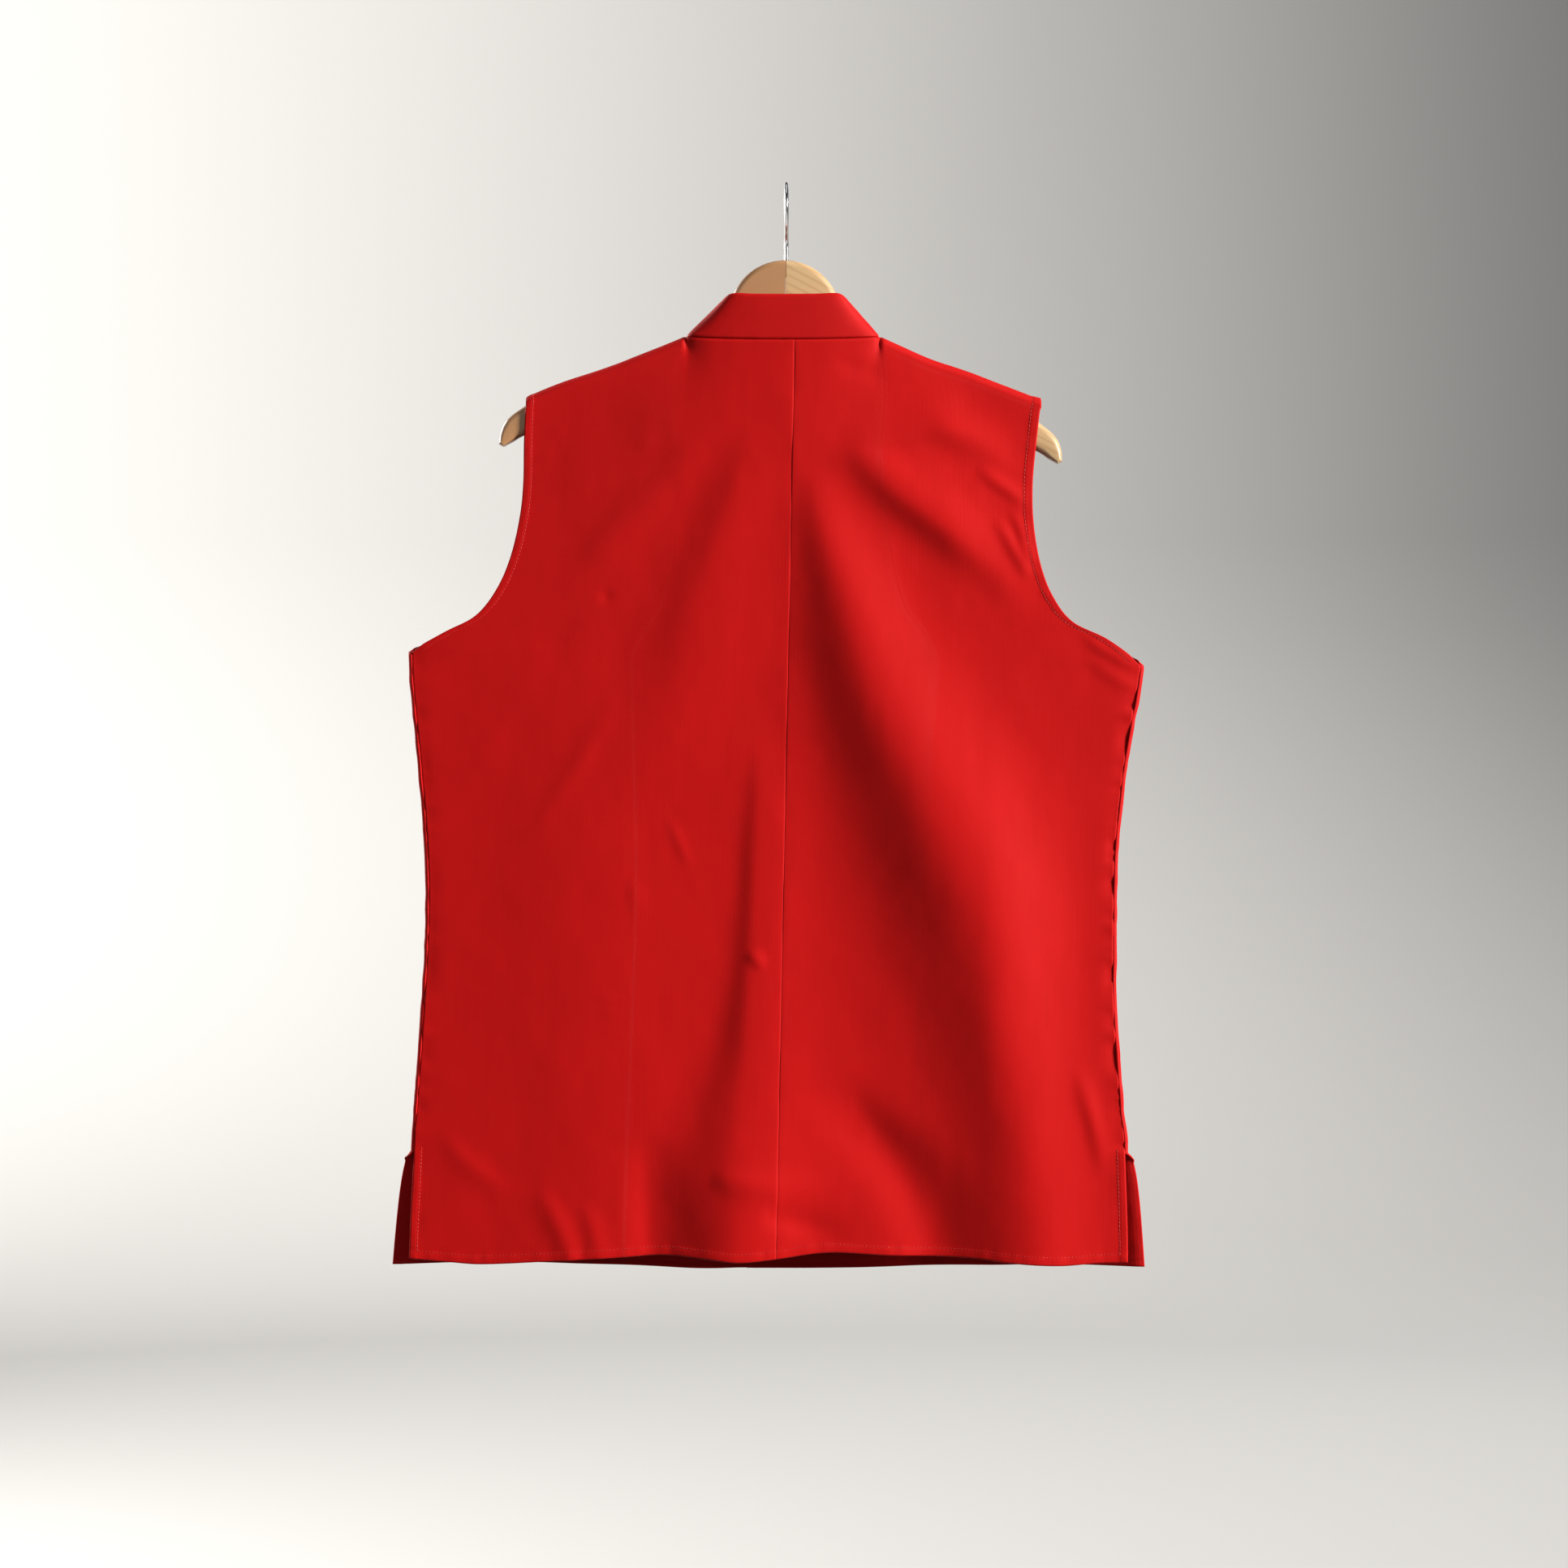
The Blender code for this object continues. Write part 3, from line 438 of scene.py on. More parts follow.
SMALL_BACK_FOLDS = [
    # The bulge across the middle of the hem
    fold((60, -781, 0, 9, 8), (44, -784, 1.6, 11, 9), (16, -788, 1.8, 12, 11), (-12, -790, 1.0, 13, 13),
         (-52, -796, 0, 12, 12)),
    fold((20, -810, 0, 8, 8), (6, -813, -1.2, 9, 10), (-18, -819, -1.6, 10, 11), (-52, -832, 0, 10, 12)),
    # The short crease beside the collar
    fold((-38, -140, 0, 6, 6), (-52, -144, -0.6, 7, 7), (-66, -148, -0.6, 7, 7), (-84, -156, 0, 6, 6)),
    # The pucker on the steep ridge
    fold((30, -603, 0, 4, 4), (26, -608, 1.3, 4, 6), (21, -613, 1.1, 4, 5), (16, -616, 0, 4, 4)),
    # Light creases where the jacket was folded
    fold((93, -496, 0, 3, 4), (88, -510, 0.5, 4, 4), (81, -526, 0.5, 4, 4), (74, -541, 0, 4, 4)),
    fold((130, -398, 0, 8, 8), (150, -435, 0.6, 9, 8), (171, -468, 0.7, 9, 9), (205, -522, 0, 9, 9)),
    fold((121, -545, 0, 4, 6), (120, -562, 0.5, 4, 8), (119, -585, 0, 4, 6)),
    fold((146, -317, 0, 4, 4), (142, -325, -0.7, 4, 5), (140, -332, 0, 4, 4)),
    fold((155, -641, 0, 3, 3), (140, -641.5, 0.3, 3, 3), (124, -641, 0, 3, 3)),
    fold((152, -652, 0, 3, 3), (139, -652.5, 0.25, 3, 3), (126, -652, 0, 3, 3)),
    # Small folds of the left and right corners of the hem
    fold((196, -790, 0, 7, 7), (186, -808, 1.1, 9, 8), (176, -828, 1.5, 9, 9), (170, -850, 1.3, 9, 9)),
    fold((162, -800, 0, 6, 6), (154, -818, 0.9, 7, 8), (146, -850, 1.1, 8, 8)),
    fold((274, -745, 0, 8, 6), (258, -764, 0.8, 9, 7), (238, -781, 0.9, 10, 8), (213, -799, 0, 9, 8)),
    fold((-228, -694, 0, 6, 7), (-236, -722, 1.5, 6, 8), (-244, -752, 1.4, 6, 8), (-250, -784, 0, 6, 7)),
    # Creases that run in from the right armhole
    fold((-164, -262, 0, 5, 5), (-173, -277, 1.3, 5, 6), (-184, -296, 1.5, 5, 6), (-193, -312, 0, 5, 5)),
    fold((-176, -255, 0, 4, 5), (-184, -271, 1.2, 4, 5), (-189, -288, 1.1, 4, 5), (-194, -300, 0, 4, 4)),
    fold((-150, -222, 0, 5, 5), (-162, -232, 1.4, 5, 6), (-178, -243, 1.5, 5, 6), (-191, -252, 0, 5, 5)),
    fold((-232, -352, 0, 4, 4), (-246, -364, 0.9, 5, 5), (-262, -373, 1.1, 5, 5), (-276, -382, 0.6, 5, 5)),
    fold((-236, -372, 0, 5, 5), (-252, -384, 0.8, 5, 6), (-270, -394, 0.9, 6, 6), (-279, -400, 0.4, 6, 6)),
]
FRONT_FOLDS = [
    fold((112, -175, 0, 14, 14), (108, -240, 3, 24, 24), (100, -330, 4.5, 28, 28), (86, -470, 4.5, 31, 31),
         (95, -640, 4.5, 33, 33), (120, -790, 5, 37, 37), (126, -870, 5, 38, 38)),
    fold((72, -235, 0, 18, 20), (60, -330, -2.5, 22, 24), (46, -470, -4, 24, 26), (50, -620, -4, 24, 28),
         (64, -760, -4, 26, 28), (72, -870, -4, 26, 28)),
    fold((196, -385, 0, 20, 24), (186, -480, 2.5, 28, 30), (180, -570, 3.5, 30, 30), (195, -720, 3.5, 30, 30),
         (202, -870, 3.5, 30, 30)),
    fold((-112, -175, 0, 13, 13), (-106, -250, 3, 23, 23), (-90, -340, 4, 27, 27), (-80, -500, 4, 29, 29),
         (-95, -660, 4.5, 30, 30), (-112, -870, 4.5, 33, 33)),
    fold((-152, -290, 0, 20, 18), (-142, -440, -3.5, 24, 24), (-150, -600, -4, 24, 26),
         (-166, -760, -4, 26, 26), (-172, -870, -4, 26, 26)),
]
SMALL_FRONT_FOLDS = [
    fold((170, -255, 0, 6, 6), (182, -280, 0.9, 6, 7), (196, -304, 1.0, 6, 6), (210, -322, 0, 5, 5)),
    fold((215, -372, 0, 6, 6), (240, -380, 0.9, 6, 7), (268, -384, 1.0, 6, 7), (284, -386, 0.4, 6, 6)),
    fold((-170, -262, 0, 6, 6), (-180, -288, 0.9, 7, 6), (-192, -312, 1.0, 6, 6), (-202, -326, 0, 5, 5)),
    fold((-205, -380, 0, 6, 6), (-230, -388, 0.8, 7, 6), (-258, -394, 1.0, 7, 6), (-270, -396, 0.4, 6, 6)),
    fold((40, -212, 0, 7, 6), (58, -228, 1.0, 8, 7), (82, -256, 1.2, 8, 8), (104, -296, 0, 8, 8)),
    fold((-36, -212, 0, 6, 7), (-54, -230, 0.9, 7, 8), (-78, -262, 1.1, 8, 8), (-98, -300, 0, 8, 8)),
    fold((235, -640, 0, 10, 12), (228, -700, 1.4, 12, 14), (236, -760, 1.2, 12, 12), (240, -830, 0, 10, 10)),
    fold((-215, -600, 0, 12, 10), (-208, -680, 1.4, 14, 12), (-214, -760, 1.3, 12, 12), (-222, -830, 0, 10, 10)),
]
print(len(BACK_FOLDS + SMALL_BACK_FOLDS), "folds on the back,", len(FRONT_FOLDS + SMALL_FRONT_FOLDS), "in front")

# %% Height of the folds
PATH_REFINEMENT = 6


def fold_lift(folds, x, z):
    """How far the folds lift the cloth at many places. Each fold is a bell across its path."""
    lift = np.zeros_like(x)
    for rows in folds:
        count = len(rows["x"])
        at = np.linspace(0, count - 1, PATH_REFINEMENT * (count - 1) + 1)
        path = {name: smooth(np.arange(float(count)), values, at) for name, values in rows.items()}
        nearest = np.full_like(x, np.inf)
        own = np.zeros_like(x)
        for i in range(len(at) - 1):
            dx, dz = path["x"][i + 1] - path["x"][i], path["z"][i + 1] - path["z"][i]
            off_x, off_z = x - path["x"][i], z - path["z"][i]
            s = np.clip((off_x * dx + off_z * dz) / (dx * dx + dz * dz), 0.0, 1.0)
            off_x, off_z = off_x - s * dx, off_z - s * dz
            gap = np.hypot(off_x, off_z)
            on_right = dx * off_z - dz * off_x < 0
            reach = np.where(on_right, mix(path["right"][i], path["right"][i + 1], s),
                             mix(path["left"][i], path["left"][i + 1], s))
            height = mix(path["height"][i], path["height"][i + 1], s)
            closer = gap < nearest
            own = np.where(closer, height * np.exp(-(gap / reach) ** 2), own)
            nearest = np.where(closer, gap, nearest)
        lift += own
    return lift


# %% [markdown]
# ## The surface of a panel
# Every point of a panel comes from one function of its share and its station. Above station 0 the
# cloth turns over the hanger, and below it hangs. The frame's panel follows the same function with
# fewer points, so the fine cloth lies where the plain solid lies.

# %% Panel surface
BACK_HEM = table(
    "x z",
    (-268, -848), (-245, -848.5), (-216, -850), (-178, -848), (-147, -844.5), (-83, -842.5), (-32, -840),
    (12, -845), (38, -847), (63, -844.5), (95, -842), (139, -844.5), (190, -847.5), (241, -850),
    (266, -848.5), (297, -846))


def neck_point(side, front, angle):
    """Neck seam: angle 0 is the centre back or front, 90 the shoulder seam."""
    side_x = NECK_X + side * NECK_HALF_WIDTH
    turn = math.radians(SHOULDER_SEAM_ANGLE)
    shoulder_y = ridge_y(side_x) + RIDGE_RADIUS * math.sin(turn)
    shoulder_z = ridge_height(side, side_x) - RIDGE_RADIUS * (1 - math.cos(turn))
    centre_y = NECK_FRONT_Y if front else NECK_BACK_Y
    centre_z = NECK_FRONT_Z if front else NECK_BACK_Z
    a = np.radians(angle)
    x = NECK_X + side * NECK_HALF_WIDTH * np.sin(a)
    forward = np.cos(a) if front else np.cos(a) ** NECK_BACK_FLATNESS
    return x, mix(shoulder_y, centre_y, forward), mix(shoulder_z, centre_z, np.cos(a))


def wrap_point(side, front, share, step):
    """The cloth's turn over the hanger, from the top edge (step 0) to where it hangs (step 1)."""
    on_neck = share <= NECK_COLUMN_SHARE
    seam_x = centre_x(front, (NECK_FRONT_Z if front else NECK_BACK_Z) - WRAP_DROP)
    seam_angle = math.degrees(math.asin(side * (seam_x - NECK_X) / NECK_HALF_WIDTH))
    x, y, z = neck_point(side, front, mix(seam_angle, 90.0, np.minimum(share / NECK_COLUMN_SHARE, 1.0)))
    out = np.clip((share - NECK_COLUMN_SHARE) / (1 - NECK_COLUMN_SHARE), 0.0, 1.0)
    seam_turn = math.radians(SHOULDER_SEAM_ANGLE)
    shoulder_x = mix(NECK_X + side * NECK_HALF_WIDTH, edge_point(side, 0.0)[0], out)
    x = np.where(on_neck, x, shoulder_x)
    y = np.where(on_neck, y, ridge_y(shoulder_x) + RIDGE_RADIUS * math.sin(seam_turn))
    shoulder_z = ridge_height(side, shoulder_x) - RIDGE_RADIUS * (1 - math.cos(seam_turn))
    z = np.where(on_neck, z, shoulder_z)
    end = -90.0 if front else 90.0
    start = np.degrees(np.arcsin(np.clip((y - ridge_y(x)) / RIDGE_RADIUS, -1.0, 1.0)))
    start = np.where(on_neck, start, SHOULDER_SEAM_ANGLE)
    gap = math.degrees(SHOULDER_SEAM_HALF / RIDGE_RADIUS)
    begin = start + math.copysign(1.0, end) * np.minimum(gap, np.abs(end - start))
    angle = np.radians(mix(begin, end, step))
    turned = np.minimum(1.0, np.abs(end - start) / FULL_WRAP)
    start = np.radians(start)
    y = y + RIDGE_RADIUS * (np.sin(angle) - np.sin(start))
    z = z + RIDGE_RADIUS * (np.cos(angle) - np.cos(start))
    return x, y, z - (1 - turned) * WRAP_DROP * step


def hanging_point(side, front, share, station):
    """A point of a panel below the hanger, with its large folds."""
    start_x, start_y, start_z = wrap_point(side, front, share, 1.0)
    edge_x, edge_z = edge_point(side, station)
    top_z = edge_point(side, HANG_STATION)[1]
    underarm_x, underarm_edge_z = edge_point(side, UNDERARM)
    hem_edge_z = edge_point(side, HEM)[1]
    above = station <= UNDERARM
    down = np.where(above, (top_z - edge_z) / (top_z - underarm_edge_z),
                    (underarm_edge_z - edge_z) / (underarm_edge_z - hem_edge_z))
    tip_x = edge_point(side, 0.0)[0]
    top_x = centre_x(front, start_z)
    top_share = (start_x - top_x) / (tip_x - top_x)
    even = np.where(above, ease(down, 0.0, 1.0), 1.0)
    across = mix(top_share, share, even)
    underarm_z = mix(UNDERARM_CENTRE_Z, underarm_edge_z, share)
    if front:
        hem_z = mix(FRONT_HEM_CENTRE_Z, hem_edge_z, ease(share, HEM_CURVE_START, HEM_CURVE_END))
    else:
        hem_x = mix(centre_x(False, BACK_HEM_CENTRE_Z), edge_point(side, HEM)[0], share)
        hem_z = smooth(BACK_HEM["x"], BACK_HEM["z"], hem_x)
    z = np.where(above, mix(start_z, underarm_z, down), mix(underarm_z, hem_z, down))
    middle_x = centre_x(front, z)
    if front:
        edge_x = edge_x - side * SIDE_FOLD_RADIUS
        edge_x = edge_x + side * VENT_FLARE * np.maximum(0.0, station - VENT_TOP) ** VENT_FLARE_POWER
        names = "front", "front_edge"
    else:
        closed = ease(station, UNDERARM - SIDE_CLOSING, UNDERARM) * (1 - ease(station, VENT_TOP, HEM))
        edge_x = edge_x - side * SIDE_SEAM_INSET * closed
        names = "back", "back_edge"
    x = mix(middle_x, edge_x, across)
    body_width = np.abs(mix(tip_x, underarm_x, ease(down, 0.0, 1.0)) - middle_x)
    by_width = np.minimum(1.0, np.abs(x - middle_x) / body_width)
    body_share = np.where(station < UNDERARM, by_width, across)
    centre_y, edge_y = (depth(name, z) for name in names)
    if side == RIGHT:
        edge_y = edge_y + depth("right_shift", z)
    body_y = mix(edge_y, centre_y, 1 - body_share ** depth("fullness", z))
    from_corner = (np.abs(start_x - NECK_X) - NECK_HALF_WIDTH) / CORNER_REACH
    settle_length = YOKE_FADE - CORNER_EASE * np.exp(-from_corner ** 2)
    y = mix(start_y, body_y, ease(start_z - z, 0.0, settle_length))
    fade = ease(start_z - z, 0.0, YOKE_FADE) * (1 - ease(across, FOLD_EDGE_START, FOLD_EDGE_END))
    if front:
        fade = fade * ease(np.abs(x - middle_x), OVERLAP, FRONT_FOLD_REACH)
        return x, y - fade * fold_lift(FRONT_FOLDS, x, z), z
    return x, y + fade * fold_lift(BACK_FOLDS, x, z), z


def panel_point(side, front, share, row):
    """A point of a panel by its share and row: rows -1 to 0 turn over the hanger, the rest are stations."""
    share, row = np.broadcast_arrays(np.asarray(share, float), np.asarray(row, float))
    wrapped = wrap_point(side, front, share, np.clip(row + 1, 0.0, 1.0))
    hanging = hanging_point(side, front, share, np.maximum(row, HANG_STATION))
    return np.stack([np.where(row <= 0, a, b) for a, b in zip(wrapped, hanging)], axis=-1)


print("back centre at the underarm:", np.round(panel_point(LEFT, False, 0.0, 8.0), 1))

# %% [markdown]
# ## Sewing marks
# A line of stitches pulls cloth down into a shallow groove and puckers it a little on both sides.
# Under the line the hem is doubled, so it stands slightly proud. These marks are less than a
# millimetre high, yet they are what tells the eye that an edge is sewn. Seeded noise makes the puckers
# uneven and the same in every run.

# %% Noise
NOISE_CELLS = 1024


def wander(at, seed):
    """Smooth random values from -1 to 1 along a line, a new one for each unit of length."""
    values = np.random.default_rng(seed).uniform(-1, 1, NOISE_CELLS)
    cell = np.floor(at).astype(int)
    return mix(values[cell % NOISE_CELLS], values[(cell + 1) % NOISE_CELLS], ease(at - cell, 0.0, 1.0))


def wander_over(x, z, seed):
    """The same over a surface."""
    values = np.random.default_rng(seed).uniform(-1, 1, (NOISE_CELLS, NOISE_CELLS))
    i, k = np.floor(x).astype(int), np.floor(z).astype(int)
    across, down = ease(x - i, 0.0, 1.0), ease(z - k, 0.0, 1.0)
    i, k, after_i, after_k = i % NOISE_CELLS, k % NOISE_CELLS, (i + 1) % NOISE_CELLS, (k + 1) % NOISE_CELLS
    return mix(mix(values[i, k], values[after_i, k], across),
               mix(values[i, after_k], values[after_i, after_k], across), down)


def bell(value, middle, width):
    return np.exp(-((value - middle) / width) ** 2)


# %% Marks of a sewn edge
ARMHOLE_STITCH, VENT_STITCH, HEM_STITCH = 6.5, 5.7, 6.0
HEM_RISE = 0.4
GROOVE_DEPTH, GROOVE_WIDTH = 0.35, 0.8
PUCKER_HEIGHT, PUCKER_LENGTH, PUCKER_REACH = 0.22, 5.0, 4.5


def sewn_edge(distance, along, stitch, seed):
    """Relief beside a turned and stitched edge, by the distance from it and the place along it."""
    doubled = HEM_RISE * (1 - ease(distance, stitch, stitch + 1.5))
    groove = -GROOVE_DEPTH * bell(distance, stitch, GROOVE_WIDTH)
    pucker = PUCKER_HEIGHT * wander(along / PUCKER_LENGTH, seed) * bell(distance, 0.7 * stitch, PUCKER_REACH)
    return doubled + groove + pucker


def seam_pucker(distance, along, height, length, reach, seed):
    """Relief beside a seam: it lies a little lower, with short uneven puckers across it."""
    uneven = wander(along / length, seed) + 0.5 * wander(2.3 * along / length, seed + 1)
    return bell(distance, 0.0, reach) * height * (uneven - 0.6)


# %% [markdown]
# ## Panels as fine grids
# A panel is a grid of points on the surface above, spaced by length: even steps in the middle and
# closer ones along the sewn edges. The grid gets its sewing marks, then two layers and a rounded rim,
# so that it is real cloth with a thickness. Its UV map is in metres, across and down the cloth, and
# the weave will follow it.

# %% Rows and columns
PANEL_STEP = 2.9
EDGE_STEP = 1.1
EDGE_BAND = 9.0
PANEL_WIDTH = 290.0
WRAP_STEPS = 8
STRIP_STEPS = np.linspace(0.0, 1.0, 9)


def spaced(length, closer_at_start=True):
    """Distances from 0 to a length: even steps, and closer ones in the sewn bands at its ends."""
    start = EDGE_BAND if closer_at_start else 0.0
    end = length - EDGE_BAND
    band = round(EDGE_BAND / EDGE_STEP)
    middle = round((end - start) / PANEL_STEP)
    parts = [np.linspace(start, end, middle + 1), np.linspace(end, length, band + 1)[1:]]
    if closer_at_start:
        parts.insert(0, np.linspace(0.0, start, band + 1)[:-1])
    return np.concatenate(parts)


def panel_rows(side):
    """The rows of a panel: over the hanger, then by station down to the hem."""
    stations = np.linspace(HANG_STATION, HEM, 2000)
    x, z = edge_point(side, stations)
    down = np.concatenate([[0.0], np.cumsum(np.hypot(np.diff(x), np.diff(z)))])
    hanging = np.interp(spaced(down[-1], False), down, stations)
    return np.concatenate([np.linspace(-1.0, 0.0, WRAP_STEPS + 1), hanging[1:]])


def panel_shares():
    shares = spaced(PANEL_WIDTH) / PANEL_WIDTH
    shares[np.argmin(np.abs(shares - NECK_COLUMN_SHARE))] = NECK_COLUMN_SHARE
    return shares


print(len(panel_rows(LEFT)), "rows and", len(panel_shares()), "columns in a panel")

# %% Distances over a grid
def run_lengths(points, axis, backward=False):
    """Distance of each point of a grid from its first row or column, or from the last one."""
    if backward:
        return np.flip(run_lengths(np.flip(points, axis), axis), axis)
    steps = np.linalg.norm(np.diff(points, axis=axis), axis=-1)
    first = np.zeros_like(np.take(steps, [0], axis=axis))
    return np.concatenate([first, np.cumsum(steps, axis=axis)], axis=axis)


def grid_normals(points):
    """Unit normals that point out of the jacket: rows run down and columns run outwards."""
    normal = np.cross(np.gradient(points, axis=1), np.gradient(points, axis=0))
    return normal / np.linalg.norm(normal, axis=-1, keepdims=True)


# %% [markdown]
# The outward side of a grid depends on which way its columns run. On the wearer's left they run to
# +X and on the right to -X, and a back and a front face opposite ways, so each panel is checked
# against the direction that it should face.

# %% Relaxing
RELAX_REACH = 90.0
RELAX_ROUNDS = 260


def relax_below_neck(points, rows, shares):
    """Draws the cloth below the neck's corner towards its neighbours, as a stretched sheet would be.

    The neck seam stays where it is, and so does what lies on the wood of the shoulder."""
    corner = points[0, np.argmin(np.abs(shares - NECK_COLUMN_SHARE))]
    away = np.linalg.norm((points - corner)[..., [0, 2]], axis=-1)
    freedom = 1 - ease(away, 0.5 * RELAX_REACH, RELAX_REACH)
    held = (rows[:, None] <= 0) & (shares[None, :] > NECK_COLUMN_SHARE)
    freedom[held] = 0.0
    for _ in range(RELAX_ROUNDS):
        middle = (points[:-2, 1:-1] + points[2:, 1:-1] + points[1:-1, :-2] + points[1:-1, 2:]) / 4
        points[1:-1, 1:-1] += freedom[1:-1, 1:-1, None] * (middle - points[1:-1, 1:-1])


# %% Cloth shell
pieces = []


def facing(points, front):
    """The grid's normals, turned to face out: forward on a front and backward on a back."""
    normal = grid_normals(points)
    outward = -normal[..., 1] if front else normal[..., 1]
    return normal * np.sign(np.median(outward))


def build_shell(name, points, normals, thickness, uv):
    """A closed cloth shell about a grid: an outer and an inner layer joined by a rounded rim."""
    rows, columns = points.shape[:2]
    half = np.broadcast_to(np.asarray(thickness, float) / 2, (rows, columns))[..., None]
    layers = np.concatenate([(points + normals * half).reshape(-1, 3), (points - normals * half).reshape(-1, 3)])
    index = np.arange(rows * columns).reshape(rows, columns)
    border = np.concatenate([index[0, :-1], index[:-1, -1], index[-1, :0:-1], index[:0:-1, 0]])
    inward = np.stack([np.gradient(points, axis=0), np.gradient(points, axis=1)])
    inward /= np.linalg.norm(inward, axis=-1, keepdims=True)
    down, across = inward
    out = np.zeros_like(points)
    out[0] -= down[0]
    out[-1] += down[-1]
    out[:, 0] -= across[:, 0]
    out[:, -1] += across[:, -1]
    rim = (points + 0.45 * out * 2 * half).reshape(-1, 3)[border]
    outer = np.stack([index[:-1, :-1], index[:-1, 1:], index[1:, 1:], index[1:, :-1]], axis=-1).reshape(-1, 4)
    count = rows * columns
    here, after = np.arange(len(border)), np.roll(np.arange(len(border)), -1)
    rim_start = 2 * count
    upper = np.stack([border[after], border[here], rim_start + here, rim_start + after], axis=-1)
    lower = np.stack([rim_start + after, rim_start + here, count + border[here], count + border[after]], axis=-1)
    faces = np.concatenate([outer, count + outer[:, ::-1], upper, lower])
    flip = np.sum(np.cross(across, down) * normals, axis=-1)
    if np.median(flip) < 0:
        faces = faces[:, ::-1]
    mesh = bpy.data.meshes.new(name)
    mesh.from_pydata(np.concatenate([layers, rim]) * MM, [], faces.tolist())
    flat_uv = np.concatenate([uv.reshape(-1, 2), uv.reshape(-1, 2), uv.reshape(-1, 2)[border]]) * MM
    layer = mesh.uv_layers.new(name="cloth")
    layer.data.foreach_set("uv", flat_uv[faces.ravel()].astype(np.float32).ravel())
    mesh.shade_smooth()
    mesh.update()
    thing = bpy.data.objects.new(name, mesh)
    bpy.context.scene.collection.objects.link(thing)
    pieces.append(thing)
    area = sum(face.area for face in mesh.polygons) / 2
    print(name, len(faces) * 2, "triangles,", round(area, 4), "square metres")
    return thing


# %% Back panels
SEAM_HALF = 0.06
SEAM_SINK, SEAM_SINK_REACH = 0.1, 1.3
SIDE_PUCKER = {LEFT: 0.45, RIGHT: 0.9}
UNEVEN = ((26.0, 44.0, 0.22), (10.0, 15.0, 0.08))


def unevenness(points, seed):
    """Cloth is never quite smooth: low bumps, taller than they are wide."""
    lift = 0.0
    for index, (width, height, size) in enumerate(UNEVEN):
        lift = lift + size * wander_over(points[..., 0] / width, points[..., 2] / height, seed + index)
    return lift


def small_lift(points, folds):
    return fold_lift(folds, points[..., 0], points[..., 2])


def back_panel(side):
    rows, shares = panel_rows(side), panel_shares()
    points = panel_point(side, False, shares[None, :], rows[:, None])
    relax_below_neck(points, rows, shares)
    points[:, 0, 0] = centre_x(False, points[:, 0, 2]) + side * SEAM_HALF
    from_edge, from_hem = run_lengths(points, 1, True), run_lengths(points, 0, True)
    from_centre, from_top = run_lengths(points, 1), run_lengths(points, 0)
    along_edge = from_hem[:, -1:]
    station = rows[:, None]
    at_armhole = 1 - ease(station, UNDERARM - 0.3, UNDERARM)
    at_vent = ease(station, VENT_TOP - 0.02, VENT_TOP + 0.05)
    at_side = (1 - at_armhole) * (1 - at_vent)
    normals = facing(points, False)
    lift = unevenness(points, 11 + side) + small_lift(points, SMALL_BACK_FOLDS)
    lift = lift + at_armhole * sewn_edge(from_edge, along_edge, ARMHOLE_STITCH, 20 + side)
    lift = lift + at_vent * sewn_edge(from_edge, along_edge, VENT_STITCH, 30 + side)
    lift = lift + sewn_edge(from_hem, from_centre[-1:, :], HEM_STITCH, 40 + side)
    lift = lift + at_side * seam_pucker(from_edge, along_edge, SIDE_PUCKER[side], 10.0, 7.0, 50 + side)
    lift = lift + seam_pucker(from_centre, from_hem[:, :1], 0.14, 16.0, 5.0, 60)
    lift = lift - SEAM_SINK * bell(from_centre, 0.0, SEAM_SINK_REACH)
    points = points + normals * lift[..., None]
    uv = np.stack([side * from_centre, -from_top], axis=-1)
    return points, facing(points, False), uv, rows


panels = {}
for side in (LEFT, RIGHT):
    name = "back_" + side_name(side)
    points, normals, uv, rows = back_panel(side)
    panels[name] = points, normals, rows
    build_shell(name + "_cloth", points, normals, CLOTH, uv)

# %% [markdown]
# The fronts are hidden in the first view but not from the sides. Each runs past the centre line, the
# wearer's left over the right, and ends at the side in a strip that wraps round to meet the back. At
# the vents that strip opens and lies flat.

# %% Front panels
FRONT_STITCH = 5.0


def edge_strip(side, main, rows, step):
    """The front's outer strip, which wraps back to the side seam and lies flat elsewhere."""
    closed = ease(rows, UNDERARM - SIDE_CLOSING, UNDERARM)
    closed = closed * (1 - ease(rows, VENT_TOP, VENT_TOP + VENT_OPENING))
    angle = np.radians(-90 + (90 + SIDE_FOLD_END) * step * closed)
    x = main[:, 0] + side * SIDE_FOLD_RADIUS * (np.cos(angle) + (1 - closed) * step)
    hanging = np.stack([x, main[:, 1] + SIDE_FOLD_RADIUS * (1 + np.sin(angle)), main[:, 2]], axis=-1)
    wrapped = main - [side * SIDE_FOLD_RADIUS * (1 - step), 0.0, 0.0]
    return np.where(rows[:, None] <= 0, wrapped, hanging)


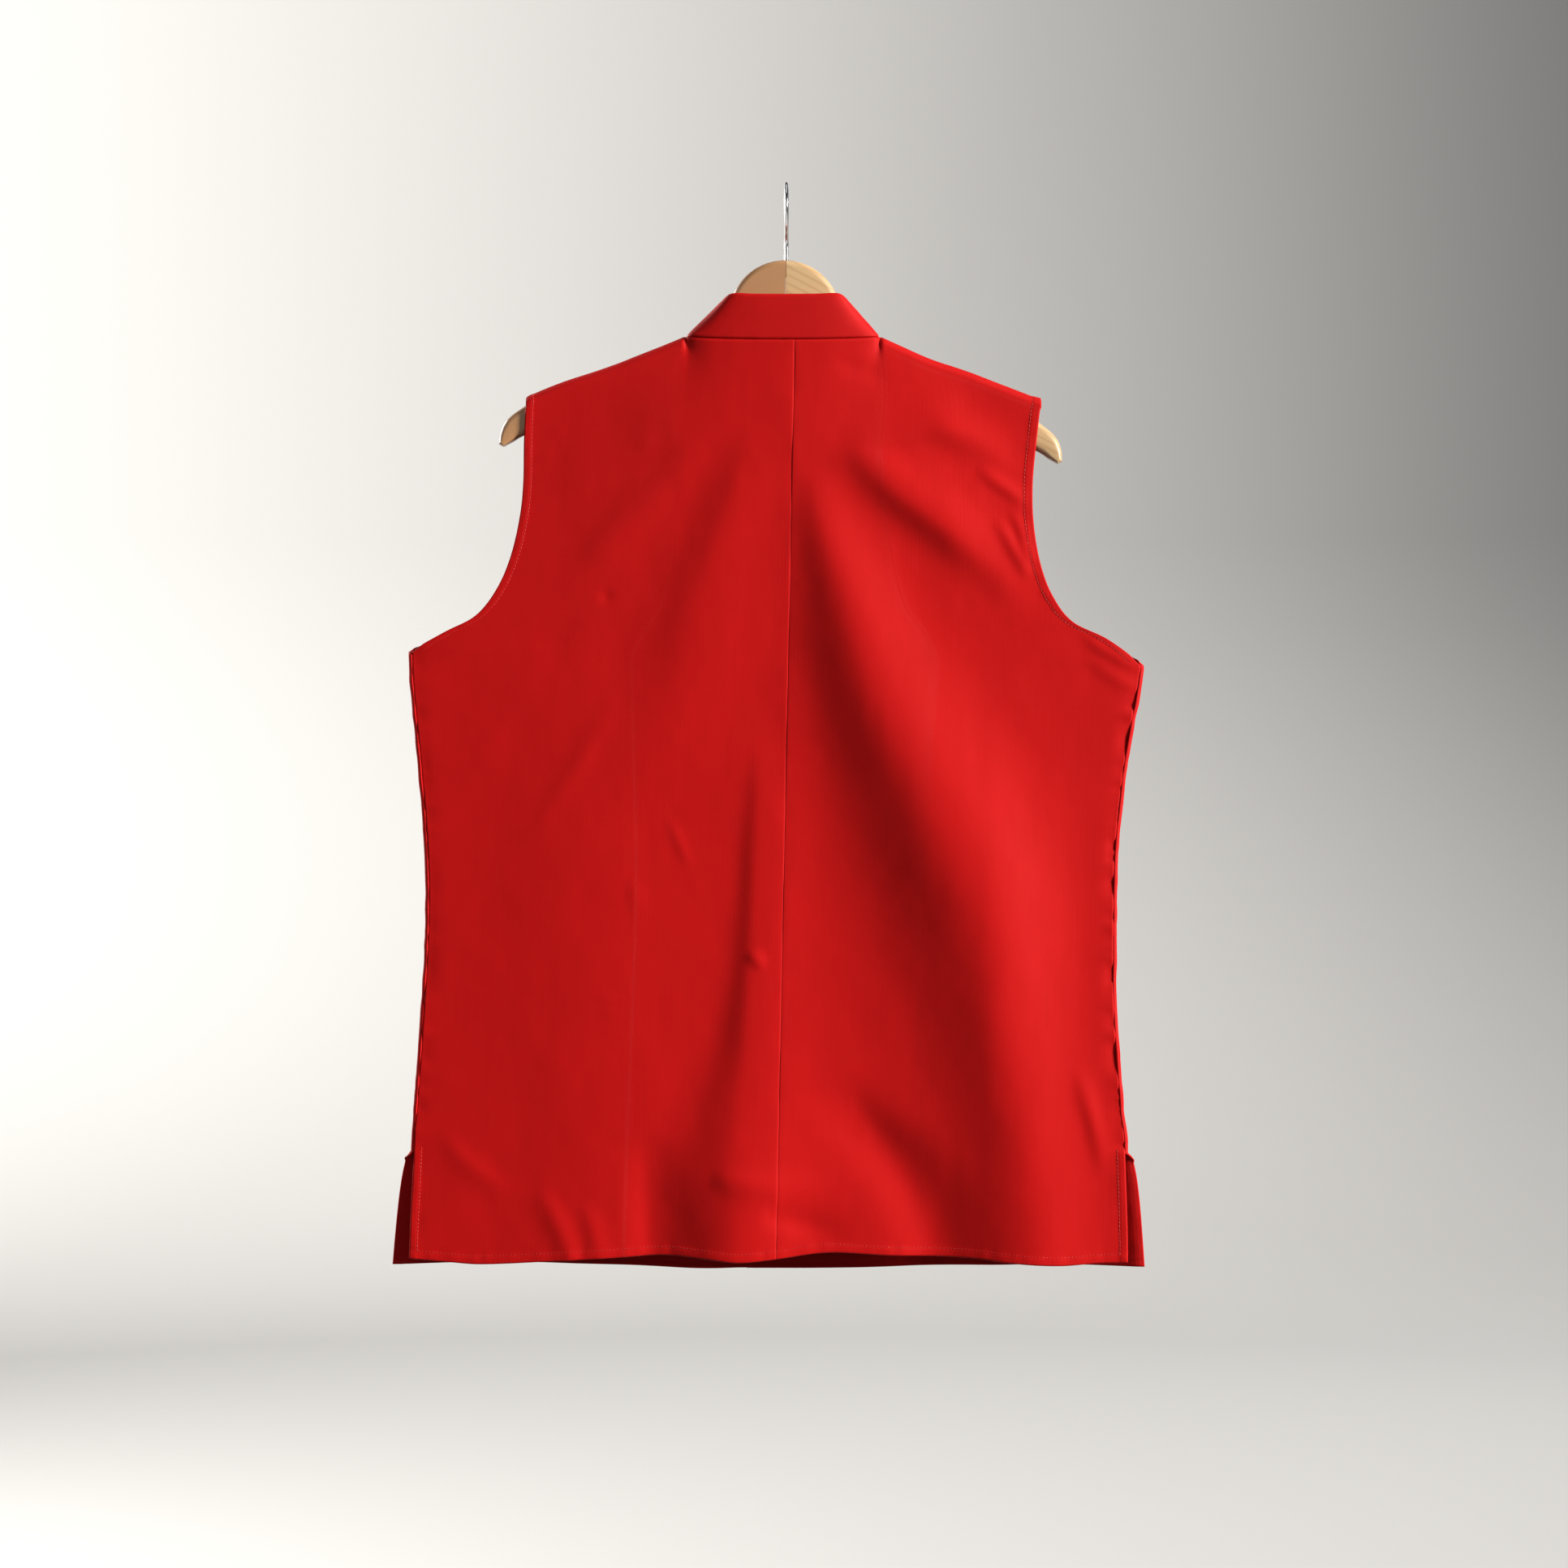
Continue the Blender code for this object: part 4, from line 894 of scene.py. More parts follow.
def front_panel(side):
    rows, shares = panel_rows(side), panel_shares()
    past_centre = -np.linspace(OVERLAP_SHARE, 0.0, 15)[:-1]
    past = panel_point(-side, True, -past_centre[None, :], rows[:, None])
    own = panel_point(side, True, shares[None, :], rows[:, None])
    relax_below_neck(own, rows, shares)
    strips = [edge_strip(side, own[:, -1], rows, step) for step in STRIP_STEPS]
    points = np.concatenate([past, own[:, :-1], np.stack(strips, axis=1)], axis=1)
    near = 1 - ease(np.abs(points[..., 0] - centre_x(True, points[..., 2])), OVERLAP_FLAT, OVERLAP_FADE)
    points[..., 1] -= side * OVERLAP_LIFT * near
    from_side, from_hem = run_lengths(points, 1, True), run_lengths(points, 0, True)
    from_front, from_top = run_lengths(points, 1), run_lengths(points, 0)
    station = rows[:, None]
    at_armhole = 1 - ease(station, UNDERARM - 0.3, UNDERARM)
    at_vent = ease(station, VENT_TOP + 0.02, VENT_TOP + 0.15)
    at_side = (1 - at_armhole) * (1 - at_vent)
    normals = facing(points, True)
    lift = unevenness(points, 71 + side) + small_lift(points, SMALL_FRONT_FOLDS)
    lift = lift + at_armhole * sewn_edge(from_side, from_hem[:, -1:], ARMHOLE_STITCH, 80 + side)
    lift = lift + at_vent * sewn_edge(from_side, from_hem[:, -1:], VENT_STITCH, 90 + side)
    lift = lift + sewn_edge(from_hem, from_front[-1:, :], HEM_STITCH, 100 + side)
    lift = lift + sewn_edge(from_front, from_hem[:, :1], FRONT_STITCH, 110 + side)
    lift = lift + at_side * seam_pucker(from_side, from_hem[:, -1:], 0.4, 13.0, 7.0, 120 + side)
    points = points + normals * lift[..., None]
    uv = np.stack([side * from_front, -from_top], axis=-1)
    return points, facing(points, True), uv, rows


for side in (LEFT, RIGHT):
    name = "front_" + side_name(side)
    points, normals, uv, rows = front_panel(side)
    panels[name] = points, normals, rows
    build_shell(name + "_cloth", points, normals, CLOTH, uv)

# %% [markdown]
# ## The collar
# The collar is a stiff band, folded at its top edge. It is a grid too: its rows rise from the neck seam
# to the top edge, and its columns run round the neck from one front end to the other. Its section is
# thick below and rounded at the fold above.

# %% Collar
COLLAR_SIDE_SHARE = 0.45
COLLAR_END_GAP = 4.0
COLLAR_CORNER, COLLAR_CORNER_REACH = 7.0, 0.075
COLLAR_LIFT = 1.7
COLLAR_BULGE = 2.0
COLLAR_BULGE_START, COLLAR_BULGE_FULL = 0.5, 0.8
COLLAR_TOP_X = 0.84
COLLAR_COLUMNS, COLLAR_ROWS = 90, 22
COLLAR_STITCH, COLLAR_GROOVE = 4.0, 0.25
COLLAR_TOP = table(
    "share x y z",
    (0.0, 0, 13, -87.4),
    (0.13, 24, 12.8, -87.2),
    (0.26, 41, 11, -86.5),
    (0.36, 46, 4.5, -88.5),
    (0.45, 48.5, -5, -92),
    (0.62, 54, -33.5, -117),
    (0.81, 36, -60.5, -148),
    (1.0, 0, -71.5, -161))


def collar_seam(side, share):
    """Neck seam under the collar, by the share of the way from centre back to centre front."""
    behind = neck_point(side, False, 90 * np.minimum(share / COLLAR_SIDE_SHARE, 1.0))
    before = neck_point(side, True, 90 * np.minimum((1 - share) / (1 - COLLAR_SIDE_SHARE), 1.0))
    return np.where(share <= COLLAR_SIDE_SHARE, behind, before)


def collar_half(side):
    share = np.linspace(0.0, 1.0, COLLAR_COLUMNS + 1)
    low = collar_seam(side, share).T
    high = np.stack([smooth(COLLAR_TOP["share"], COLLAR_TOP[name], share) for name in "xyz"], axis=-1)
    high = high * [side, 1, 1] + [COLLAR_TOP_X, 0, 0]
    rise = np.linalg.norm(high - low, axis=-1)
    near_end = 1 - ease(1 - share, 0.0, COLLAR_CORNER_REACH)
    step = np.linspace(0.0, 1.0, COLLAR_ROWS + 1)[:, None]
    up = mix(COLLAR_LIFT / rise, 1.0, step) - near_end * COLLAR_CORNER / rise * step ** 3
    points = mix(low[None], high[None], up[..., None])
    bulge = COLLAR_BULGE * np.sin(np.pi * up) * ease(share, COLLAR_BULGE_START, COLLAR_BULGE_FULL)
    points[..., 1] -= bulge
    points[:, -1, 0] += side * COLLAR_END_GAP / 2
    return points


def build_collar():
    points = np.concatenate([collar_half(LEFT)[:, ::-1], collar_half(RIGHT)[:, 1:]], axis=1)
    along = run_lengths(points, 1)
    from_seam, from_top = run_lengths(points, 0), run_lengths(points, 0, True)
    from_end = np.minimum(along, along[:, -1:] - along)
    normals = grid_normals(points)
    middle = points.mean(axis=(0, 1))
    normals *= np.sign(np.median(np.sum(normals * (points - middle), axis=-1)))
    lift = 0.12 * wander_over(along / 18.0, from_seam / 12.0, 131)
    for distance in (from_top, from_end):
        lift = lift - COLLAR_GROOVE * bell(distance, COLLAR_STITCH, GROOVE_WIDTH)
    lift = lift + seam_pucker(from_seam, along, 0.2, 7.0, 4.0, 140)
    points = points + normals * lift[..., None]
    thickness = COLLAR_CLOTH * (0.55 + 0.45 * ease(from_top, 0.0, 2.2))
    build_shell("collar_cloth", points, normals, thickness, np.stack([along, from_seam], axis=-1))
    return points, normals


collar_points, collar_normals = build_collar()

# %% [markdown]
# ## The hanger
# The hanger is two shaped pieces of wood, joined in the middle and swept forward a little like real
# shoulders. Each half is its outline, stacked in layers from the front face to the back face. The
# outer layers are inset along a quarter circle, which rounds the edges as a maker's cutter does.

# %% Hanger outline
WOOD_TOP = -58.6
WOOD_THICKNESS = 12.0
WOOD_ROUNDING = 5.0
ROUNDING_STEPS = 7
DOME_RADIUS, DOME_ANGLE, DOME_STEPS = 44.3, 72.0, 20
ARM_TOP_STEPS = 70
ARM_BOTTOM_STEPS = DOME_STEPS + ARM_TOP_STEPS + 1
TIP_EASE = 16.0
TIP_ROUNDING_SHARE = 0.25
HANGER_ROLL = math.radians(1.8)
JOINT_GAP = 0.3
ARM_TOP = table(
    "out up",
    (46, -40), (54, -49.5), (65, -60), (76, -67), (98, -75.3), (131, -88.2), (160, -98.2),
    (179, -104.7), (195, -114.3), (204, -121), (214, -128.5), (219.5, -135), (222.3, -143), (223, -151.5))
ARM_BOTTOM = table(
    "out up",
    (219.5, -153.2), (211.8, -149), (203.4, -143.8), (180, -132.5), (150, -121), (100, -103),
    (60, -84), (30, -71), (0, -67))


def arm_outline():
    """Half of the hanger from behind: the dome, the arm's top edge, its tip and its lower edge."""
    turn = np.radians(np.linspace(0.0, DOME_ANGLE, DOME_STEPS + 1))
    parts = [np.stack([DOME_RADIUS * np.sin(turn), DOME_RADIUS * (np.cos(turn) - 1)], axis=-1)]
    for rows, steps in ((ARM_TOP, ARM_TOP_STEPS), (ARM_BOTTOM, ARM_BOTTOM_STEPS)):
        knots = np.arange(float(len(rows["out"])))
        at = np.linspace(0.0, knots[-1], steps + 1)
        parts.append(np.stack([smooth(knots, rows["out"], at), smooth(knots, rows["up"], at)], axis=-1))
    return np.concatenate(parts)


def inset_outline(outline, inset):
    """The outline moved inwards, less near the arm's thin tip. Its two ends stay on the centre joint."""
    tip = np.array([ARM_BOTTOM["out"][0], ARM_BOTTOM["up"][0]])
    from_tip = np.minimum(1.0, np.linalg.norm(outline - tip, axis=-1) / TIP_EASE)
    insets = inset * mix(TIP_ROUNDING_SHARE, 1.0, from_tip)
    before, after = np.roll(outline, 1, axis=0), np.roll(outline, -1, axis=0)
    before[0], after[-1] = outline[0], outline[-1]
    along = after - before
    along /= np.linalg.norm(along, axis=-1, keepdims=True)
    moved = outline + insets[:, None] * np.stack([along[:, 1], -along[:, 0]], axis=-1)
    for end in (0, -1):
        moved[end] = outline[end] + [0.0, math.copysign(insets[end], -along[end, 0])]
    return moved


def build_hanger_half(side):
    outline = arm_outline()
    turns = np.radians(np.linspace(0.0, 90.0, ROUNDING_STEPS + 1))
    insets = WOOD_ROUNDING * (1 - np.cos(turns))
    depths = WOOD_THICKNESS / 2 - WOOD_ROUNDING * (1 - np.sin(turns))
    layers = list(zip(insets[::-1], -depths[::-1])) + list(zip(insets, depths))
    cos, sin = math.cos(HANGER_ROLL), math.sin(HANGER_ROLL)
    shape = bmesh.new()
    loops = []
    for inset, layer_y in layers:
        moved = inset_outline(outline, inset)
        along, up = side * (moved[:, 0] + JOINT_GAP / 2), moved[:, 1]
        x, z = along * cos - up * sin, WOOD_TOP + up * cos + along * sin
        places = np.stack([x, ridge_y(x) + layer_y, z], axis=-1) * MM
        loops.append([shape.verts.new(place) for place in places])
    for loop in (loops[0], loops[-1]):
        for i in range(len(loop) // 2 - 1):
            shape.faces.new([loop[i], loop[i + 1], loop[-2 - i], loop[-1 - i]])
    for low, high in zip(loops, loops[1:]):
        for i in range(len(low)):
            j = (i + 1) % len(low)
            shape.faces.new([low[j], low[i], high[i], high[j]])
    bmesh.ops.recalc_face_normals(shape, faces=shape.faces)
    return add_piece("hanger_half_" + side_name(side), shape)


def add_piece(name, shape, sharp_angle=40.0):
    mesh = bpy.data.meshes.new(name)
    shape.to_mesh(mesh)
    shape.free()
    mesh.shade_smooth()
    mesh.set_sharp_from_angle(angle=math.radians(sharp_angle))
    thing = bpy.data.objects.new(name, mesh)
    bpy.context.scene.collection.objects.link(thing)
    pieces.append(thing)
    return thing


hanger_halves = {side: build_hanger_half(side) for side in (LEFT, RIGHT)}
print("hanger halves:", [len(half.data.polygons) for half in hanger_halves.values()], "faces")

# %% [markdown]
# ## The hook
# The hook is one bent wire, so it is made the way a wire is: a route, and a round section carried along
# it. Geometry Nodes do that with Curve to Mesh. The radius shrinks over the last stretch, which rounds
# the tip.

# %% Node tree helpers
def new_tree(name, **inputs):
    """A geometry node tree with named inputs, as (tree, wires of the inputs, output node)."""
    tree = bpy.data.node_groups.new(name, "GeometryNodeTree")
    kinds = {float: "NodeSocketFloat", int: "NodeSocketInt", bpy.types.Material: "NodeSocketMaterial"}
    tree.interface.new_socket("Geometry", in_out="INPUT", socket_type="NodeSocketGeometry")
    for label, kind in inputs.items():
        tree.interface.new_socket(label, in_out="INPUT", socket_type=kinds[kind])
    tree.interface.new_socket("Geometry", in_out="OUTPUT", socket_type="NodeSocketGeometry")
    start, end = tree.nodes.new("NodeGroupInput"), tree.nodes.new("NodeGroupOutput")
    given = {socket.name: Wire(tree, socket) for socket in start.outputs if socket.name}
    return tree, given, end


def finish_tree(tree, wire, end):
    tree.links.new(wire.socket, end.inputs["Geometry"])
    return tree


def run_tree(thing, tree, **values):
    """Runs a tree on an object and keeps the result as its plain mesh."""
    modifier = thing.modifiers.new(tree.name, "NODES")
    modifier.node_group = tree
    for item in tree.interface.items_tree:
        if item.in_out == "INPUT" and item.name in values:
            modifier[item.identifier] = values[item.name]
    graph = bpy.context.evaluated_depsgraph_get()
    mesh = bpy.data.meshes.new_from_object(thing.evaluated_get(graph))
    made = bpy.data.objects.new(thing.name, mesh)
    name = thing.name
    bpy.data.objects.remove(thing, do_unlink=True)
    made.name = name
    bpy.context.scene.collection.objects.link(made)
    pieces.append(made)
    print(name, len(mesh.polygons), "faces")
    return made


def line_object(name, lines):
    """Polylines as one mesh of edges, for a tree that follows them. Lengths are in mm."""
    points, edges = [], []
    for line in lines:
        edges += [(len(points) + i, len(points) + i + 1) for i in range(len(line) - 1)]
        points += [tuple(np.asarray(point) * MM) for point in line]
    mesh = bpy.data.meshes.new(name)
    mesh.from_pydata(points, edges, [])
    thing = bpy.data.objects.new(name, mesh)
    bpy.context.scene.collection.objects.link(thing)
    return thing


# %% Hook
WIRE_RADIUS = 1.8
BOW_RADIUS, BOW_START, BOW_TURN = 19.7, -52.0, 250.0
WIRE_TIP = 1.8
STEM = table("out up", (0.0, -14.0), (0.0, 0.0), (0.0, 9.0), (0.8, 14.0), (4.5, 18.5))


def hook_route():
    """Centre line of the wire: up out of the wood, out to one side and over."""
    turn = np.radians(BOW_START + np.linspace(0.0, BOW_TURN, 60))
    bow = np.stack([BOW_RADIUS * np.cos(turn), WIRE_RADIUS - BOW_RADIUS + BOW_RADIUS * np.sin(turn)], axis=-1)
    stem = np.stack([STEM["out"], WOOD_TOP + STEM["up"]], axis=-1)
    rough = np.concatenate([stem, bow])
    length = run_lengths(rough, 0)
    at = np.linspace(0.0, length[-1], 160)
    route = np.stack([smooth(length, rough[:, axis], at) for axis in (0, 1)], axis=-1)
    return np.stack([np.zeros(len(at)), route[:, 0], route[:, 1]], axis=-1)


def wire_tree():
    tree, given, end = new_tree("bent_wire", Radius=float, Tip=float, Material=bpy.types.Material)
    wire = Wire(tree)
    curve = wire.node("GeometryNodeMeshToCurve", {"Mesh": given["Geometry"]})
    parameter = tree.nodes.new("GeometryNodeSplineParameter")
    length = tree.nodes.new("GeometryNodeSplineLength")
    left = Wire(tree, length.outputs["Length"]) - Wire(tree, parameter.outputs["Length"])
    inward = 1.0 - wire.math("MINIMUM", wire.math("DIVIDE", left, given["Tip"]), 1.0)
    roundness = wire.math("SQRT", 1.0 - inward * inward)
    section = wire.node("GeometryNodeCurvePrimitiveCircle", {"Resolution": 20, "Radius": 1.0})
    mesh = wire.node("GeometryNodeCurveToMesh", {"Curve": curve, "Profile Curve": section, "Fill Caps": True,
                                                 "Scale": given["Radius"] * roundness})
    mesh = wire.node("GeometryNodeSetMaterial", {"Geometry": mesh, "Material": given["Material"]})
    return finish_tree(tree, mesh, end)


chrome, chrome_shader, chrome_wire = new_material("polished_chrome")
hook = run_tree(line_object("hook_wire", [hook_route()]), wire_tree(),
                Radius=WIRE_RADIUS * MM, Tip=WIRE_TIP * MM, Material=chrome)
hook.data.shade_smooth()

# %% [markdown]
# ## Buttons
# The front closes with five buttons. Each is turned from a half section: a flat back, a rounded rim
# and a hollow middle. Four holes go through the middle, and a cross of thread lies over them. The
# places come from the left front's own grid, so every button sits just off the cloth.

# %% Buttons
BUTTON_RADIUS, BUTTON_THICKNESS = 9.5, 3.4
BUTTON_TOP, BUTTON_SPACING, BUTTON_COUNT = -216.0, 112.0, 5
BUTTON_SIDES = 48
BUTTON_CLEARANCE = 0.35
HOLE_OFFSET, HOLE_RADIUS, HOLE_SIDES = 1.9, 1.0, 12
BUTTON_SECTION = table(
    "out up",
    (0.0, 0.0), (0.8, 0.0), (0.93, 0.14), (1.0, 0.45), (0.985, 0.7), (0.94, 0.9), (0.87, 0.98), (0.8, 1.0),
    (0.73, 0.93), (0.66, 0.78), (0.6, 0.68), (0.5, 0.63), (0.0, 0.62))


def button_places():
    """Centre of each button's back, just off the left front."""
    points = panels["front_left"][0]
    centres = []
    for index in range(BUTTON_COUNT):
        z = BUTTON_TOP - index * BUTTON_SPACING
        x = float(centre_x(True, z))
        behind = np.hypot(points[..., 0] - x, points[..., 2] - z) < BUTTON_RADIUS
        centres.append((x, points[behind][:, 1].min() - CLOTH / 2 - BUTTON_CLEARANCE, z))
    return centres


def build_button(index, centre):
    shape = bmesh.new()
    rings = []
    for out, up in zip(BUTTON_SECTION["out"] * BUTTON_RADIUS, BUTTON_SECTION["up"] * BUTTON_THICKNESS):
        count = BUTTON_SIDES if out else 1
        turns = [2 * math.pi * i / BUTTON_SIDES for i in range(count)]
        rings.append([shape.verts.new(Vector((out * math.cos(turn), -up, out * math.sin(turn))) * MM)
                      for turn in turns])
    for low, high in zip(rings, rings[1:]):
        for i in range(BUTTON_SIDES):
            j = (i + 1) % BUTTON_SIDES
            corners = [low[i % len(low)], low[j % len(low)], high[j % len(high)], high[i % len(high)]]
            shape.faces.new(list(dict.fromkeys(corners)))
    bmesh.ops.recalc_face_normals(shape, faces=shape.faces)
    button = add_piece(f"button_{index}_disc", shape)
    for k, (right, up) in enumerate(((1, 1), (1, -1), (-1, -1), (-1, 1))):
        drill_shape = bmesh.new()
        bmesh.ops.create_cone(drill_shape, cap_ends=True, segments=HOLE_SIDES, radius1=HOLE_RADIUS * MM,
                              radius2=HOLE_RADIUS * MM, depth=3 * BUTTON_THICKNESS * MM)
        drill_mesh = bpy.data.meshes.new("drill")
        drill_shape.to_mesh(drill_mesh)
        drill_shape.free()
        drill = bpy.data.objects.new("drill", drill_mesh)
        drill.location = (right * HOLE_OFFSET * MM, 0.0, up * HOLE_OFFSET * MM)
        drill.rotation_euler = (math.radians(90), 0.0, 0.0)
        bpy.context.scene.collection.objects.link(drill)
        cut = button.modifiers.new("hole", "BOOLEAN")
        cut.object = drill
        cut.solver = "EXACT"
        graph = bpy.context.evaluated_depsgraph_get()
        drilled = bpy.data.meshes.new_from_object(button.evaluated_get(graph))
        button.modifiers.clear()
        button.data = drilled
        bpy.data.objects.remove(drill, do_unlink=True)
    button.data.transform(Matrix.Translation(Vector(centre) * MM))
    return button


button_centres = button_places()
buttons = [build_button(i + 1, centre) for i, centre in enumerate(button_centres)]
print("buttons at", [tuple(round(value, 1) for value in centre) for centre in button_centres])

# %% [markdown]
# Two crossed loops of thread hold each button, and a worked buttonhole sticks out beside it. Both are
# cords, so they reuse the tree that made the hook's wire.

# %% Thread on the buttons
THREAD_RADIUS, STRAND_GAP = 0.3, 0.34
BUTTON_FLOOR = 0.62 * BUTTON_THICKNESS
HOLE_LENGTH, HOLE_HALF, HOLE_CORD = 21.0, 1.1, 0.55
HOLE_OUTER_END = 3.0


def cross_lines(centre):
    """Strands from hole to hole over the button's floor, the second diagonal over the first."""
    lines = []
    for layer, turn in enumerate((1.0, -1.0)):
        for strand in (-STRAND_GAP, STRAND_GAP):
            line = []
            for share in np.linspace(-1.0, 1.0, 15):
                above = (0.5 + 0.55 * layer) * (1 - share ** 4) - 1.2 * abs(share) ** 8
                x = share * HOLE_OFFSET + strand * 0.7
                z = turn * share * HOLE_OFFSET - turn * strand * 0.7
                line.append((centre[0] + x, centre[1] - BUTTON_FLOOR - above, centre[2] + z))
            lines.append(line)
    return lines


def buttonhole_line(centre):
    """The worked edge of a buttonhole: a long narrow loop that lies on the left front."""
    points, normals = panels["front_left"][:2]
    outer_end = centre[0] - HOLE_OUTER_END
    turns = np.radians(np.linspace(0.0, 360.0, 73))
    line = []
    for turn in turns:
        reach = HOLE_LENGTH / 2 - HOLE_HALF
        x = outer_end + HOLE_LENGTH / 2 + reach * np.clip(1.6 * math.cos(turn), -1, 1) + HOLE_HALF * math.cos(turn)
        z = centre[2] + HOLE_HALF * np.clip(1.6 * math.sin(turn), -1, 1)
        nearest = np.unravel_index(np.argmin(np.hypot(points[..., 0] - x, points[..., 2] - z)), points.shape[:2])
        line.append((x, points[nearest][1] - CLOTH / 2 - 0.1, z))
    return line


thread, thread_shader, thread_wire = new_material("red_thread")
cord = wire_tree()
for index, centre in enumerate(button_centres):
    run_tree(line_object(f"button_{index + 1}_thread", cross_lines(centre)), cord,
             Radius=THREAD_RADIUS * MM, Tip=THREAD_RADIUS * MM, Material=thread)
    run_tree(line_object(f"buttonhole_{index + 1}_cord", [buttonhole_line(centre)]), cord,
             Radius=HOLE_CORD * MM, Tip=HOLE_CORD * MM, Material=thread)

# %% [markdown]
# ## Stitches
# Every stitch is a small grain of thread. One tree makes them all: it takes lines that lie on the
# cloth, puts points along them at the stitch's pitch, and sets a grain on each point, turned along
# the line. The grains vary a little, from a fixed seed.

# %% Stitch tree
def stitch_tree():
    tree, given, end = new_tree("stitch_row", Pitch=float, Length=float, Width=float, Seed=int,
                                Material=bpy.types.Material)
    wire = Wire(tree)
    curve = wire.node("GeometryNodeMeshToCurve", {"Mesh": given["Geometry"]})
    curve = wire.node("GeometryNodeResampleCurve", {"Curve": curve, "Length": given["Pitch"]}, mode="LENGTH")
    along = wire.node("GeometryNodeInputTangent")
    turn = wire.node("FunctionNodeAlignRotationToVector", {"Vector": along}, axis="X")
    grain = wire.node("GeometryNodeMeshUVSphere", {"Segments": 6, "Rings": 4, "Radius": 0.5})
    size = wire.node("ShaderNodeCombineXYZ", {"X": given["Length"], "Y": given["Width"], "Z": given["Width"]})
    grain = wire.node("GeometryNodeTransform", {"Geometry": grain, "Scale": size})
    vary = wire.node("FunctionNodeRandomValue", {2: 0.85, 3: 1.15, "Seed": given["Seed"]}, output=1)
    placed = wire.node("GeometryNodeInstanceOnPoints",
                       {"Points": curve, "Instance": grain, "Rotation": turn, "Scale": vary})
    solid = wire.node("GeometryNodeRealizeInstances", {"Geometry": placed})
    solid = wire.node("GeometryNodeSetMaterial", {"Geometry": solid, "Material": given["Material"]})
    return finish_tree(tree, solid, end)


STITCH_PITCH, STITCH_LENGTH, STITCH_WIDTH = 2.9, 2.35, 0.55
STITCH_LIFT = 0.08


def across_line(points, normals, distances, stitch, chosen):
    """The line at a distance from the edge, through the chosen rows of a grid."""
    raised = points + normals * (CLOTH / 2 + STITCH_LIFT)
    line = []
    for row in np.flatnonzero(chosen):
        order = np.argsort(distances[row])
        line.append([np.interp(stitch, distances[row][order], raised[row, order, axis]) for axis in range(3)])
    return line


def panel_stitches(name, front):
    """Armhole, vent and hem lines of a panel, and the front edge of a front."""
    points, normals, rows = panels[name]
    from_edge, from_hem = run_lengths(points, 1, True), run_lengths(points, 0, True)
    from_centre = run_lengths(points, 1)
    lines = [across_line(points, normals, from_edge, ARMHOLE_STITCH, (rows > -0.7) & (rows < UNDERARM - 0.15)),
             across_line(points, normals, from_edge, VENT_STITCH, (rows > VENT_TOP) & (from_hem[:, -1] > HEM_STITCH))]
    turned = [np.swapaxes(grid, 0, 1) for grid in (points, normals)]
    if front:
        inside = (from_centre[-1] > FRONT_STITCH) & (from_edge[-1] > VENT_STITCH)
        below_neck = (rows > 0.4) & (from_hem[:, 0] > HEM_STITCH)
        lines.append(across_line(points, normals, from_centre, FRONT_STITCH, below_neck))
    else:
        inside = (from_centre[-1] > 1.0) & (from_edge[-1] > VENT_STITCH)
    lines.append(across_line(*turned, from_hem.T, HEM_STITCH, inside))
    return lines


stitching = stitch_tree()
for seed, name in enumerate(panels):
    lines = panel_stitches(name, name.startswith("front"))
    run_tree(line_object(name + "_stitches", lines), stitching, Pitch=STITCH_PITCH * MM,
             Length=STITCH_LENGTH * MM, Width=STITCH_WIDTH * MM, Seed=seed, Material=thread)

# %% [markdown]
# ## Materials

# %% Red satin
RED = (0.60, 0.0048, 0.0046, 1.0)
RED_DEEP = (0.50, 0.0038, 0.0036, 1.0)


def satin():
    material, shader, wire = new_material("red_satin")
    uv = wire.node("ShaderNodeUVMap", uv_map="cloth")
    slub_place = wire.node("ShaderNodeMapping", {"Vector": uv, "Scale": (900.0, 14.0, 1.0)})
    slub = wire.node("ShaderNodeTexNoise", {"Vector": slub_place, "Scale": 1.0, "Detail": 2.0})
    cloud_place = wire.node("ShaderNodeMapping", {"Vector": uv, "Scale": (28.0, 18.0, 1.0)})
    cloud = wire.node("ShaderNodeTexNoise", {"Vector": cloud_place, "Scale": 1.0, "Detail": 3.0})
    shade = slub * 0.5 + cloud * 0.5
    feed(shader, "Base Color", shade.blend(RED_DEEP, RED))
    parts = wire.tree.nodes.new("ShaderNodeSeparateXYZ")
    wire.tree.links.new(uv.socket, parts.inputs[0])
    u, v = Wire(wire.tree, parts.outputs[0]), Wire(wire.tree, parts.outputs[1])
    twill = wire.math("SINE", (u + v * 2.0) * 11000.0)
    height = twill * 0.25 + slub * 0.75
    bump = wire.node("ShaderNodeBump", {"Height": height, "Strength": 0.35, "Distance": 0.00025})
    feed(shader, "Normal", bump)
    feed(shader, "Roughness", 0.5 + 0.16 * slub)
    shader.inputs["Specular IOR Level"].default_value = 0.12
    shader.inputs["Sheen Weight"].default_value = 0.06
    shader.inputs["Sheen Roughness"].default_value = 0.4
    shader.inputs["Sheen Tint"].default_value = (1.0, 0.15, 0.12, 1.0)
    return material


red_satin = satin()

# %% [markdown]
# The sewing thread is polyester of nearly the cloth's colour. Fine slanted bands of light and dark stand
# for its twist. They are painted light and shade of the plies' ridges and grooves, and they also vary the
# roughness. A slow noise makes some stitches a little paler than others.

# %% Thread
THREAD, THREAD_PALE = (0.42, 0.005, 0.005, 1.0), (0.60, 0.012, 0.011, 1.0)


